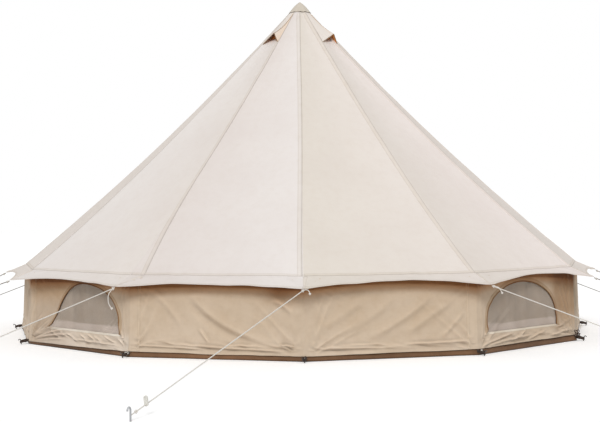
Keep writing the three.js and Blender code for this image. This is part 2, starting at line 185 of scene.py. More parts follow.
def door_share(u):
    return np.clip(1 - np.abs(u - DOOR), 0, None)


def at_door(u, over, plain):
    return np.where((door_share(u) > 0)[..., None], over, plain)


def beside_door(u):
    return np.where(u < DOOR, DOOR - 1, DOOR + 1)


def hem(u):
    over = lerp(corner(beside_door(u), HEM, HEM_Z), PEAK, door_share(u))
    return at_door(u, over, along(u, HEM, HEM_Z))


def tight(k):
    """How much more the edge of the flap rises between two tips, where it is pulled tighter."""
    return 0.018 * (k == 0) + 0.024 * (k == 1)


def edge(u):
    side = beside_door(u)
    reach = corner(side, EAVE, TIP_Z) - corner(side, HEM, HEM_Z)
    over = hem(u) + lerp(reach, OVERHANG, door_share(u))
    k = np.floor(u)
    bow = 4 * (u - k) * (k + 1 - u)
    plain = along(u, EAVE, TIP_Z) - (BOW * bow)[..., None] * corner(k + 0.5, 1, 0)
    plain[..., 2] += (LIFT + tight(k)) * bow
    return at_door(u, over, plain)


def mesh_object(name, points, faces, uv=None, mats=(), index=None, smooth_faces=True, tint=None):
    mesh = bpy.data.meshes.new(name)
    mesh.from_pydata([tuple(p) for p in points], [], [tuple(map(int, f)) for f in faces])
    if uv is not None:
        layer = mesh.uv_layers.new(name="UVMap")
        loops = np.empty(len(mesh.loops), np.int32)
        mesh.loops.foreach_get("vertex_index", loops)
        layer.data.foreach_set("uv", np.asarray(uv, np.float32)[loops].ravel())
    colours = np.ones((len(points), 4), np.float32)
    if tint is not None:
        colours[:, :3] = tint
    mesh.attributes.new("tint", "FLOAT_COLOR", "POINT").data.foreach_set("color", colours.ravel())
    for m in mats:
        mesh.materials.append(m)
    if index is not None:
        mesh.polygons.foreach_set("material_index", index)
    mesh.polygons.foreach_set("use_smooth", [smooth_faces] * len(mesh.polygons))
    mesh.update()
    return add_object(name, mesh)


def grid_faces(cols, rows):
    i, j = lattice(np.arange(cols - 1), np.arange(rows - 1))
    a = i * rows + j
    return stacked(a, a + 1, a + rows + 1, a + rows).reshape(-1, 4)


def crosses(points, faces):
    p = points[faces]
    return np.cross(p[:, 2] - p[:, 0], p[:, 3] - p[:, 1])


def normals_of(points, faces):
    face = crosses(points, faces)
    out = np.zeros_like(points)
    for k in range(4):
        np.add.at(out, faces[:, k], face)
    return out / np.maximum(np.linalg.norm(out, axis=1), 1e-12)[:, None]


def area_of(points, faces):
    return float(np.linalg.norm(crosses(points, faces), axis=1).sum() / 2)


def length_of(path):
    return np.linalg.norm(np.diff(path, axis=0), axis=1)


def thicken(name, points, faces, uv, depth, mats, tint=None):
    """A sheet with its points on its outer face, given thickness on the inner side."""
    uv = uv.reshape(-1, 2)
    _, first, inverse = np.unique(np.round(points, 5), axis=0, return_index=True, return_inverse=True)
    points, uv, faces = points[first], uv[first], inverse.reshape(-1)[faces]
    if tint is not None:
        tint = np.tile(tint.reshape(-1, 3)[first], (2, 1))
    count = len(points)
    normal = normals_of(points, faces)
    edges = joined(*(faces[:, [k, (k + 1) % 4]] for k in range(4)))
    keys = set(map(tuple, edges))
    rim = np.array([e for e in edges if (e[1], e[0]) not in keys and e[0] != e[1]]).reshape(-1, 2)
    walls = stacked(rim[:, 1], rim[:, 0], rim[:, 0] + count, rim[:, 1] + count)
    all_points = joined(points, points - normal * depth)
    all_faces = joined(faces, faces[:, ::-1] + count, walls)
    index = [0] * len(faces) + [min(1, len(mats) - 1)] * len(faces) + [0] * len(walls)
    clean = [tuple(dict.fromkeys(f)) for f in all_faces.tolist()]
    keep = [k for k, f in enumerate(clean) if len(f) > 2]
    kept_faces, kept_index = [clean[k] for k in keep], [index[k] for k in keep]
    return mesh_object(name, all_points, kept_faces, np.tile(uv, (2, 1)), mats, kept_index, tint=tint)


def piece(obj, slot, body="tent", nodes=()):
    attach(obj, body)
    if nodes:
        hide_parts(*nodes)
    return obj


# ---- Guy ropes ----

ROPE_POINTS = 28


def guy_line(tag):
    """Where a rope starts under its tip and ends at its peg, and its direction."""
    k, x, y = GUYS[tag]
    tip = edge(np.array(float(k))) - UP * (ROOF_T / 2)
    peg = np.array([x, y, ROPE_END])
    line = (peg - tip) / np.linalg.norm(peg - tip)
    fall = abs(line[2])
    start = tip + line * (ROOF_T / 2 * fall + CLEAR)
    short = (PEG + ROPE * fall + CLEAR) / math.hypot(line[0], line[1])
    return start, peg - line * short, line


def curve_object(name, points, radius, mat=None, resolution=3):
    data = bpy.data.curves.new(name, "CURVE")
    data.dimensions = "3D"
    data.bevel_depth, data.bevel_resolution = 1.0, resolution
    data.use_fill_caps = True
    spline = data.splines.new("POLY")
    spline.points.add(len(points) - 1)
    for p, q in zip(spline.points, points, strict=True):
        p.co = (*map(float, q), 1.0)
        p.radius = radius
    spline.use_smooth = True
    if mat:
        data.materials.append(mat)
    return add_object(name, data)


ropes = {}
for tag in GUYS:
    start, end, _ = guy_line(tag)
    rope = curve_object(f"rope_{tag}", lerp(start, end, shares(ROPE_POINTS)), ROPE)
    ropes[tag] = piece(rope, "rope", nodes=[f"guy_rope_{tag}"])

# ---- Materials ----


class Nodes:
    """A node tree, with short calls for its nodes and links."""

    def __init__(self, owner, output="ShaderNodeOutputMaterial"):
        owner.use_nodes = True
        self.owner, self.tree = owner, owner.node_tree
        self.tree.nodes.clear()
        self.out = self.tree.nodes.new(output).inputs[0]

    def add(self, kind, inputs=(), **settings):
        node = self.tree.nodes.new("ShaderNode" + kind)
        for key, value in settings.items():
            setattr(node, key, value)
        for key, value in dict(inputs).items():
            self.put(node.inputs[key], value)
        return node

    def put(self, socket, value):
        if isinstance(value, bpy.types.NodeSocket):
            self.tree.links.new(value, socket)
        else:
            socket.default_value = value

    def math(self, operation, a, b=0.5, clamp=False):
        return self.add("Math", {0: a, 1: b}, operation=operation, use_clamp=clamp).outputs[0]

    def times(self, a, b):
        return self.math("MULTIPLY", a, b)

    def wave(self, value, rate):
        return self.math("SINE", self.times(value, rate))

    def place(self):
        return self.add("TexCoord").outputs["Object"]

    def parts(self, vector):
        return self.add("SeparateXYZ", {0: vector}).outputs

    def noise(self, vector, scale, detail=4.0, rough=0.55):
        values = {"Vector": vector, "Scale": scale, "Detail": detail, "Roughness": rough}
        return self.add("TexNoise", values).outputs[0]

    def stretch(self, vector, factors):
        return self.add("VectorMath", {0: vector, 1: factors}, operation="MULTIPLY").outputs[0]

    def mix(self, factor, a, b, blend="MIX"):
        node = self.add("Mix", data_type="RGBA", blend_type=blend)
        for k, value in ((0, factor), (6, a), (7, b)):
            self.put(node.inputs[k], (*value, 1.0) if isinstance(value, tuple) else value)
        return node.outputs[2]

    def tinted(self, tone):
        """The tone times the mesh's tint, which on some pieces carries painted light and shade as well as
        tone.
        """
        tint = self.add("Attribute", attribute_name="tint", attribute_type="GEOMETRY")
        return self.mix(1.0, tone, tint.outputs["Color"], "MULTIPLY")

    def span(self, value, low, high, to_low=0.0, to_high=1.0):
        return self.add("MapRange", {0: value, 1: low, 2: high, 3: to_low, 4: to_high}).outputs[0]

    def bump(self, height, distance, strength=1.0, normal=None):
        node = self.add("Bump", {"Height": height, "Distance": distance, "Strength": strength})
        if normal:
            self.put(node.inputs["Normal"], normal)
        return node.outputs[0]

    def surface(self, colour, roughness, normal, **plain):
        node = self.add("BsdfPrincipled", {"Base Color": colour, "Roughness": roughness, "Normal": normal})
        for key, value in plain.items():
            node.inputs[key.replace("_", " ")].default_value = value
        self.put(self.out, node.outputs[0])
        return node


def material(name):
    return Nodes(bpy.data.materials.new(name))


def srgb(code):
    """Linear colour of six hex digits in sRGB."""
    parts = (int(code[k:k + 2], 16) / 255 for k in (0, 2, 4))
    return tuple(((c + 0.055) / 1.055) ** 2.4 for c in parts)


def shade(colour, factor):
    return tuple(c * factor for c in colour)


def canvas(name, colours, thread=0.0011, soil=0.0, roughness=0.9, stitch=0.0):
    """Cotton canvas: plain weave, slubs along both threads, cloudy tone, soil near the ground.

    The colours are the cloth's, its darker patches' and its stains'; stitch is how far two rows of
    stitches run from the middle of a tape.
    """
    colour, dark, stain = map(srgb, colours.split())
    n = material(name)
    place = n.place()
    uv = n.add("UVMap").outputs[0]
    across, run, _ = n.parts(uv)
    slubs = [n.noise(n.stretch(uv, way), 1.0, 3.0) for way in ((260.0, 9.0, 1.0), (9.0, 260.0, 1.0))]
    cloud = n.noise(place, 2.2, 5.0, 0.6)
    fine = n.noise(place, 17.0, 4.0, 0.6)
    tone = n.mix(n.span(cloud, 0.35, 0.72), colour, dark)
    tone = n.mix(n.times(n.span(fine, 0.45, 0.8), 0.35), tone, stain)
    threads = n.math("ADD", *(n.span(slub, 0.3, 0.75, -0.5, 0.5) for slub in slubs))
    tone = n.tinted(n.mix(n.span(threads, -0.8, 0.9, 0.0, 0.16), tone, stain))
    if soil:
        splash = n.math("ADD", n.parts(place)[2], n.span(n.noise(place, 9.0, 5.0), 0.3, 0.7, -0.05, 0.05))
        tone = n.mix(n.span(splash, 0.02, 0.14, soil, 0.0), tone, shade(dark, 0.55))
    cloth = n.bump(n.times(n.wave(across, PI / thread), n.wave(run, PI / thread)), 0.0002, 0.5)
    # Painted shade: along each row of stitches, a band a few millimetres wide and the thread's dashes are
    # darkened, as the shade in the groove that the stitching sinks into the cloth.
    if stitch:
        off = n.math("ABSOLUTE", n.math("SUBTRACT", n.math("ABSOLUTE", across), stitch))
        dash = n.span(n.wave(run, 2 * PI / 0.008), -0.6, -0.2)
        stitch_shade = n.times(n.span(off, 0.0007, 0.0016, 1.0, 0.0), dash)
        tone = n.mix(n.times(n.span(off, 0.001, 0.004, 1.0, 0.0), 0.2), tone, shade(stain, 0.85))
        tone = n.mix(n.times(stitch_shade, 0.4), tone, shade(colour, 0.75))
        cloth = n.bump(n.span(off, 0.0, 0.003), 0.0012, 0.6, cloth)
    cloth = n.bump(fine, 0.004, 0.25, n.bump(threads, 0.0006, 0.35, cloth))
    rough = n.span(fine, 0.3, 0.7, roughness - 0.05, min(roughness + 0.06, 1.0))
    n.surface(tone, rough, cloth, Sheen_Weight=0.12, Sheen_Roughness=0.5, Specular_IOR_Level=0.15)
    return n.owner


def worn(name, colours, roughness, metallic, grain=(40.0, 40.0, 6.0)):
    """Metal or moulded plastic: drawn grain or mottle, scuffs, and uneven gloss."""
    colour, scuffed = map(srgb, colours.split())
    n = material(name)
    place = n.place()
    drawn = n.noise(n.stretch(place, grain), 6.0, 4.0)
    scuff = n.noise(place, 55.0, 6.0, 0.7)
    tone = n.mix(n.span(drawn, 0.35, 0.7), colour, shade(colour, 0.82))
    tone = n.mix(n.span(scuff, 0.6, 0.78, 0.0, 0.6), tone, scuffed)
    rough = n.span(scuff, 0.3, 0.75, roughness - 0.08, roughness + 0.18)
    n.surface(tone, rough, n.bump(drawn, 0.0003, 0.4), Metallic=metallic)
    return n.owner


def braid(name, colours, pitch):
    """Braided cord: crossing strands round the rope, along its length."""
    colour, dark = map(srgb, colours.split())
    n = material(name)
    place = n.place()
    x, y, z = n.parts(place)
    run = n.math("ADD", y, x)
    lay = n.times(*(n.wave(n.math(way, run, z), 2 * PI / pitch) for way in ("ADD", "SUBTRACT")))
    fuzz = n.noise(place, 180.0, 4.0)
    # Painted shade: the tone is darker down in the grooves between the strands, where the bump sinks.
    tone = n.mix(n.span(lay, -0.6, 0.9), dark, colour)
    tone = n.mix(n.span(fuzz, 0.45, 0.8, 0.0, 0.3), tone, shade(dark, 0.8))
    normal = n.bump(lay, 0.0006, 0.6, n.bump(fuzz, 0.0003, 0.5))
    n.surface(tone, 0.85, normal, Sheen_Weight=0.2, Specular_IOR_Level=0.2)
    return n.owner


def net_material(name, colours, cover):
    """Insect net: square threads with open holes between them."""
    colour, dark = map(srgb, colours.split())
    n = material(name)
    across, run, _ = n.parts(n.add("UVMap").outputs[0])
    threads = [n.math("ABSOLUTE", n.wave(way, PI / 0.0016)) for way in (across, run)]
    grid = n.span(n.math("MINIMUM", *threads), 0.15, 0.75, 1.0, 0.0)
    cloud = n.noise(n.place(), 7.0, 4.0)
    tone = n.tinted(n.mix(n.span(cloud, 0.35, 0.7), colour, dark))
    opaque = n.span(cloud, 0.3, 0.7, cover - 0.12, cover + 0.05)
    node = n.surface(tone, 0.8, n.bump(grid, 0.0003, 0.5), Specular_IOR_Level=0.2)
    n.put(node.inputs["Alpha"], n.math("ADD", n.times(grid, 0.25), opaque, clamp=True))
    return n.owner


EVEN = (30.0, 30.0, 30.0)

roof_mat = canvas("roof canvas", "ebe3db e7ded6 e1d6cb")
roof_in = canvas("roof canvas inside", "d6be9e cab08e bea07c")
seam_mat = canvas("roof seam", "e7ded4 e2d8cd d4c7b8", stitch=0.0145)
hem_mat = canvas("roof hem", "e7ded4 e2d8cd d4c7b8", stitch=0.0105)
cap_mat = canvas("cap canvas", "d6cdc0 cac0b0 bcaf9e")
# Painted glow: the hoods' inside is a bright orange that stands in for the light coming through the cloth.
hood_inside_glow = canvas("hood inside glow", "f0b270 e09e5e c4844c")
wall_mat = canvas("wall canvas", "d0bda7 c7b299 baa388", soil=0.12)
wall_in = canvas("wall canvas inside", "c6ac8a ba9e7c aa8e6c")
tape_mat = canvas("wall tape", "d3c0a9 cab59c bca58a", stitch=0.008)
arch_mat = canvas("window border", "c2aa8e b69c7f a28669", stitch=0.008)
sill_mat = canvas("sill tape", "e4d8c6 d8cab6 c8b8a0")
bind_mat = canvas("zip tape", "967048 7a5838 60442c", thread=0.0008)
cover_mat = canvas("window cover", "e8ded2 ded2c4 cdbeac")
sheet_mat = canvas("groundsheet", "74563e 604632 4e3828", thread=0.002, roughness=0.7)
loop_mat = canvas("peg loop", "483c35 382e29 28211e", thread=0.002, roughness=0.7)
net_mat = net_material("insect net", "baac9e a8998a", 0.72)
# Painted glow: the nets under the hoods are a bright orange that stands in for the light coming through the
# hoods.
vent_net_glow = net_material("vent net glow", "eeb470 d69658", 1.2)
rope_mat = braid("rope", "f4f1eb ded8cf", 0.007)
lip_mat = braid("bound edge", "baa082 886a4c", 0.004)
# Painted shade: a darker copy of the white rope, for the ropes at the sides and back of the tent.
shaded_rope = braid("shaded rope", "9e988e 766f64", 0.007)
dark_cord = braid("dark cord", "5c4638 3a2c24", 0.005)
strap_mat = braid("cap binding", "786856 56483a", 0.004)
steel = worn("galvanised steel", "c4c6c8 e2e3e4", 0.36, 0.9)
peg_steel = worn("peg steel", "686664 969490", 0.42, 0.85)
black = worn("black plastic", "2a2928 4e4c4a", 0.5, 0.0, EVEN)
zip_metal = worn("zip metal", "403a34 807668", 0.38, 0.85)
white_plastic = worn("runner plastic", "e8e6de cecac0", 0.45, 0.0, EVEN)

# ---- Cloth helpers ----

CLOTH_T = 0.002
TAPE_T = 0.0007


def cloth(name, points, uv, depth, mats, slot, held="stretched", body="tent", nodes=(), tint=None,
          rests_on=(), flip=False, hole=None, flat=None):
    """A sheet over a grid of points, riding its body."""
    faces = grid_faces(*points.shape[:2])
    points = points.reshape(-1, 3)
    if flip:
        faces = faces[:, ::-1]
    if hole is not None:
        faces = faces[~hole(faces)]
    obj = piece(thicken(name, points, faces, uv, depth, mats, tint), slot, body, nodes)
    area = area_of(points, faces)
    list(rests_on)


def tape(name, surface, half, along_share, mat, slot, body="tent", rise=0.0016, rest="roof", tone=None):
    """A flat tape sewn on a surface: surface(across in metres, share along, rise) gives its points."""
    widths = np.array([half * 0.5, half * 0.93, half, half + 0.0008])
    heights = np.array([rise * 0.9, rise, rise * 0.8, -0.0006])
    across = joined(-widths[::-1], [0], widths)
    up = joined(heights[::-1], [rise * 0.8], heights)
    a, t = lattice(across, along_share)
    points = surface(a, t, up[:, None])
    run = joined([0], np.cumsum(length_of(points[len(widths)])))
    outward = (points - surface(a, t, -0.002)).reshape(-1, 3).mean(0)
    turned = normals_of(points.reshape(-1, 3), grid_faces(*a.shape)).mean(0) @ outward < 0
    cloth(name, points, stacked(a, run), TAPE_T, [mat], slot, body=body, tint=tone and tone(a, t),
          rests_on=[rest], flip=turned, flat=float(run[-1]))


# ---- Roof canvas, from the peak to the free edge of the eave flap ----

GORE = 2 * HEM * math.sin(STEP / 2)
GORE_RUN = 3.4  # down a gore, from the peak to the hem
FLAP = 0.2  # share beyond the hem at which the flap ends
HOODED = (1, 4, 7, 10)
VENT_IN, VENT_OUT, VENT_SHARE = 0.19, 0.34, 0.66


def roof_base(u, v):
    """The roof's outer face: v runs 0 to 1 from the peak to the hem, then to 1.2 at the edge."""
    share = unit(v)
    top = along(u, TOP, APEX - SLOPE * TOP)
    point = lerp(top, hem(u), share)
    point[..., 2] -= 4 * SAG * share * (1 - share) * (1 - door_share(u))
    return np.where((v > 1)[..., None], lerp(hem(u), edge(u), unit((v - 1) / FLAP)), point)


def gore_width(v):
    return 2 * (TOP + (HEM - TOP) * unit(v)) * math.sin(STEP / 2)


def roof_shape(u, v):
    """How far the cloth stands off its base: slack bays, ripples, and tucks in the flap beside each tip."""
    s = u - np.floor(u)
    share, flap = unit(v), unit((v - 1) / FLAP)
    near = np.minimum(s, 1 - s) * gore_width(v)
    bay = np.sin(PI * s)
    x, y = u * GORE, share * GORE_RUN
    lift = -0.014 * bay * np.sin(PI * share) ** 0.8
    lift += 0.0045 * clouds(x * 1.5, y * 0.45, 3) * bay + 0.0015 * clouds(x * 5, y * 1.2, 7) * bay
    lift += 0.003 * bell(v - 1, 0.05) * noise(x * 15, y * 2, 11) * np.minimum(near / 0.05, 1)
    lift += 0.0022 * np.exp(-near / 0.05) * noise(x * 3, y * 9, 13) * np.minimum(share * 8, 1)
    crease = 0.15 * (1 - flap) + 0.01 * noise(u * 5, 0, 15)
    tuck = 0.009 * bell(near - crease, 0.018) - 0.005 * bell(near - crease + 0.035, 0.02)
    tuck += 0.005 * bell(near - crease * 0.45, 0.012)
    lift += np.where(flap > 0, tuck * np.minimum(flap * 5, 1) * (1.0 - 0.7 * flap), 0) * (door_share(u) == 0)
    wave = 0.008 * noise(x * 2.7, flap * 0.6 + 5, 17) + 0.003 * noise(x * 8, flap + 9, 19)
    return lift + wave * flap**1.3 * unit((near - 0.03) / 0.2)


def roof(u, v, off=0.0):
    e = 1e-3
    s = u - np.floor(u)
    point = roof_base(u, v)
    side = np.where(s > 0.5, -1.0, 1.0)
    du = (roof_base(u + side * e, v) - point) * side[..., None]
    back = np.where(v > 1.1, -e, e)
    dv = (roof_base(u, v + back) - point) * np.sign(back)[..., None]
    n = np.cross(dv, du)
    n /= np.linalg.norm(n, axis=-1)[..., None]
    return point + n * (roof_shape(u, v) + off)[..., None]


def radius_share(r):
    return (r - TOP) / (HEM - TOP)


vent_edge = (1 - VENT_SHARE) / 2
vent_top, vent_foot = radius_share(VENT_IN), radius_share(VENT_OUT)
fine = np.array([0, 0.006, 0.016, 0.03, 0.05, 0.075])
cols = joined(fine, np.linspace(0.1, 0.9, 34), 1 - fine, [vent_edge, 1 - vent_edge])
cols = np.unique(np.round(cols, 5))
rows = joined(
    np.linspace(0, vent_top, 4)[:-1],
    np.linspace(vent_top, vent_foot, 5)[:-1],
    np.linspace(vent_foot, 0.9, 60)[:-1],
    np.linspace(0.9, 0.994, 12),
    [1.0, 1.006],
    np.linspace(1.018, 1 + FLAP, 16),
)
u_grid, v_grid = lattice(all_round(cols), rows)


def vent_hole(faces):
    u, v = u_grid.ravel()[faces].mean(1), v_grid.ravel()[faces].mean(1)
    inside = (u % 1 > vent_edge) & (u % 1 < 1 - vent_edge) & (v > vent_top) & (v < vent_foot)
    return inside & np.isin(np.floor(u), HOODED)


# Tone of the roof's panels, at each one's first and last edge: painted light and shade, most panels lighter
# towards their last edge, with some of each panel's own tint.
GORE_TINT_AND_SHADE = {
    10: ((0.99, 1.01, 1.05), (0.985, 0.985, 1.0)),
    11: ((0.925, 0.92, 0.945), (1.01, 1.03, 1.075)),
    0: ((0.935, 0.935, 0.91), (0.985, 0.98, 0.99)),
    1: ((0.97, 0.965, 0.96), (1.06, 1.045, 1.08)),
}
GORE_ENDS = np.array([GORE_TINT_AND_SHADE.get(k, ((0.96, 0.955, 0.955), (1.0, 0.99, 0.99))) for k in range(SIDES)])


# Painted light and shade across each panel, with its own tint, for the roof and the tapes on it.
def gore_tint_and_shade(u):
    u = np.where(u == SIDES, SIDES - 1e-6, u % SIDES)
    ends = GORE_ENDS[np.floor(u).astype(int)]
    return lerp(ends[..., 0, :], ends[..., 1, :], u % 1)


down = unit(v_grid) * GORE_RUN + unit(v_grid - 1)
cloth("roof", roof(u_grid % SIDES, v_grid), stacked(u_grid * GORE, down), CLOTH_T, [roof_mat, roof_in],
      "roof_canvas", nodes=["roof_canvas"], tint=gore_tint_and_shade(u_grid), rests_on=["pole_crown", "a_frame_crown"],
      hole=vent_hole, flat=7.2)

# ---- Seams of the roof: one down each ridge, the hem and the flap's edge ----

RIDGE_HALF, PLEAT_HALF, HEM_HALF, EDGE_HALF = 0.018, 0.014, 0.014, 0.0125
LONG = 11  # the ridge whose seam and pleat stray sideways near the hem


def ridge_at(k, a, v):
    sway = 0.11 * unit((v - 0.62) / 0.38) ** 2 if k == LONG else 0.012 * np.sin(v * 5 + k) * v
    return (k + np.clip((a - 0.016 + sway) / gore_width(v), -0.45, 0.45)) % SIDES


def pleat_at(k, a, t):
    away = (0.105 if k == LONG else 0.02) * (1 - t)
    taper = a * (1 - 0.65 * t)
    return (k + (away + taper - 0.008 * (1 - t)) / (GORE * (1 + 0.07 * t))) % SIDES


def roof_tape(name, place, half, share, mat, rise=0.0016, lift=0.0, dark=None, level=1.0):
    """A tape on the roof: place(across, share) gives its u and v.

    It takes its gore's tint and painted light and shade times level, with a painted shade line, darker by
    dark, along one edge; without dark it stays plain.
    """
    def tone(a, t):
        line = 1 - dark * unit((a / half - 0.4) / 0.5)
        return gore_tint_and_shade(place(a, t)[0]) * line[..., None] * level

    tape(name, lambda a, t, up: roof(*place(a, t), up + lift), half, share, mat, "roof_canvas", rise=rise,
         tone=None if dark is None else tone)


# The ridge and hem seams carry a painted shade line along one edge; the flap's edge takes only its gore's
# tint and painted light and shade.
for k in range(SIDES):
    roof_tape(f"ridge_seam_{k:02d}", lambda a, v: (ridge_at(k, a, v), v), RIDGE_HALF,
              np.linspace(0.012, 0.997, 90), seam_mat, lift=0.0004, dark=0.24, level=1.01)
for k in range(SIDES):
    if k != DOOR:
        roof_tape(f"pleat_{k:02d}", lambda a, t: (pleat_at(k, a, t), 1.0 + 0.196 * t), PLEAT_HALF,
                  shares(14), seam_mat, rise=0.0022)
side_run = joined([0.003, 0.012], np.linspace(0.03, 0.97, 60), [0.988, 0.997])
for side in range(SIDES):
    roof_tape(f"hem_seam_{side:02d}", lambda a, t: (side + t, 0.9935 + a / GORE_RUN), HEM_HALF, side_run,
              hem_mat, dark=0.24)
    roof_tape(f"flap_edge_{side:02d}", lambda a, t: (side + t, 1.186 + a), EDGE_HALF, side_run, hem_mat,
              rise=0.0018, dark=0.0)

# ---- Peak cap ----

CAP_R, CAP_TIP, CAP_T = 0.096, APEX + 0.009, 0.0025


def ridge_height(r):
    share = radius_share(r)
    return APEX - SLOPE * r - np.where(share > 0, 4 * SAG * share * (1 - share), 0)


cap_rows = joined([0.004], np.linspace(0.05, 0.93, 14), [0.95, 0.965, 0.98, 1.0])
cap_u, cap_v = lattice(np.arange(0, SIDES + 0.01, 1 / 8), cap_rows)
spread = CAP_R * (1 + 0.02 * np.abs(np.cos(PI * cap_u))) * cap_v
cap_rim = float(ridge_height(CAP_R)) + 0.005
cap_z = CAP_TIP + (cap_rim - CAP_TIP) * cap_v - 0.004 * np.sin(PI * (cap_u % 1)) * cap_v
cap_z += 0.010 * np.sin(PI * cap_v) + 0.0008 * clouds(cap_u * 2, cap_v * 3, 31) * cap_v
cap_z += 0.0012 * bell(cap_v - 0.965, 0.015)
cap_points = corner(cap_u, spread, cap_z)
cap_points[-1] = cap_points[0]
cloth("cap", cap_points, stacked(cap_u * 0.05, cap_v * 0.14), CAP_T, [cap_mat], "peak_cap",
      nodes=["peak_cap"], rests_on=["pole_crown", "roof"])
rim = cap_points[:-1, -1] - UP * 0.0015
piece(curve_object("cap_rim", np.append(rim, rim[:1], 0), 0.0016, strap_mat, 1), "peak_cap")

# ---- Vent hoods and the nets under them ----

HOOD_TOP, HOOD_LIP, HOOD_RISE, HOOD_PEAK = 0.1, 0.385, 0.085, 0.76
# Painted glow: how much green and blue the hood's tone loses, turning orange, as light coming through the
# cloth.
PAINTED_GLOW = np.array([0.0, -0.12, -0.24])


def hood_crest(down):
    """Where the hood's fold lies across it."""
    return 1 - (1 - HOOD_PEAK) * np.maximum(down, 0.02) ** 0.7


def hood(side, across, down, off=0.0):
    radius = HOOD_TOP + (HOOD_LIP - HOOD_TOP) * down
    point = along(side + 0.04 + 0.92 * across, 1.0, 0.0) * radius[..., None]
    peak = hood_crest(down)
    lip = np.minimum(across / peak, (1 - across) / (1 - peak))
    lift = HOOD_RISE * lip * down**2 + 0.004 * np.sin(PI * down) * np.sin(PI * across)
    lift += 0.002 * clouds(across * 4, down * 5, 33 + side) * down
    point[..., 2] = ridge_height(radius) + 0.002 + off + lift
    return point


hood_cols = np.unique(joined(np.linspace(0, 0.7, 26), np.linspace(0.7, 1, 30)))
hood_a, hood_d = lattice(hood_cols, shares(22))
# Painted glow on both faces of the hood, from a little before its fold out to its edge.
glow = unit((hood_a - 0.6) * 2.5)[..., None] * PAINTED_GLOW + 1
crest_run = np.linspace(0.08, 1, 30)
for n, side in enumerate(HOODED, 1):
    cloth(f"hood_{n}", hood(side, hood_a, hood_d), stacked(hood_a * 0.2, hood_d * 0.33), CLOTH_T,
          [roof_mat, hood_inside_glow], "roof_canvas", nodes=[f"vent_hood_{n}"], tint=glow, rests_on=["roof"])
    lip_line = hood(side, shares(61), np.ones(61), -0.001)
    piece(curve_object(f"hood_lip_{n}", lip_line, 0.003, lip_mat, 2), "roof_canvas")
    fold_line = hood(side, hood_crest(crest_run) + 0.012, crest_run, 0.0005)
    piece(curve_object(f"hood_fold_{n}", fold_line, 0.0022, lip_mat, 2), "roof_canvas")
    net_u, net_v = lattice(side + np.linspace(vent_edge - 0.04, 1 - vent_edge + 0.04, 16),
                           np.linspace(vent_top - 0.006, vent_foot + 0.006, 10))
    cloth(f"vent_net_glow_{n}", roof(net_u, net_v, -0.004), stacked(net_u * 0.2, net_v * GORE_RUN), 0.0008,
          [vent_net_glow], "net", rests_on=["roof"])

# ---- Walls and windows ----

SIDE = 2 * BASE * math.sin(STEP / 2)
WALLED = [*range(7, 12), *range(0, 5)]
WALL_TOP, WALL_FOOT, GROUND = HEM_Z - ROOF_T - CLEAR, 0.03, 0.0064
WINDOW_W, WINDOW_H, WINDOW_SIDE, SILL = 0.9, 0.35, 0.09, 0.15
MID = 0.13  # height above the sill of the point that a window is drawn round
WINDOW_AT = {1: 0.572, 4: 0.722, 7: 0.572, 10: 0.722}
PULLED = (4, 10)  # sides whose window the cloth pulls in at its outer flank
STRIP = {10: 0.022, 11: 0.042, 0: 0.037, 1: 0.045, 2: 0.052, 3: 0.04}  # height of the foot at a corner
CALM = {2: 0.45, 9: 0.6}  # sides that are less creased
SEAM_AT = 0.075  # distance of a wall seam from its corner
FOLD_WIDTH, FOLD_HEIGHT = 0.85, 1.8

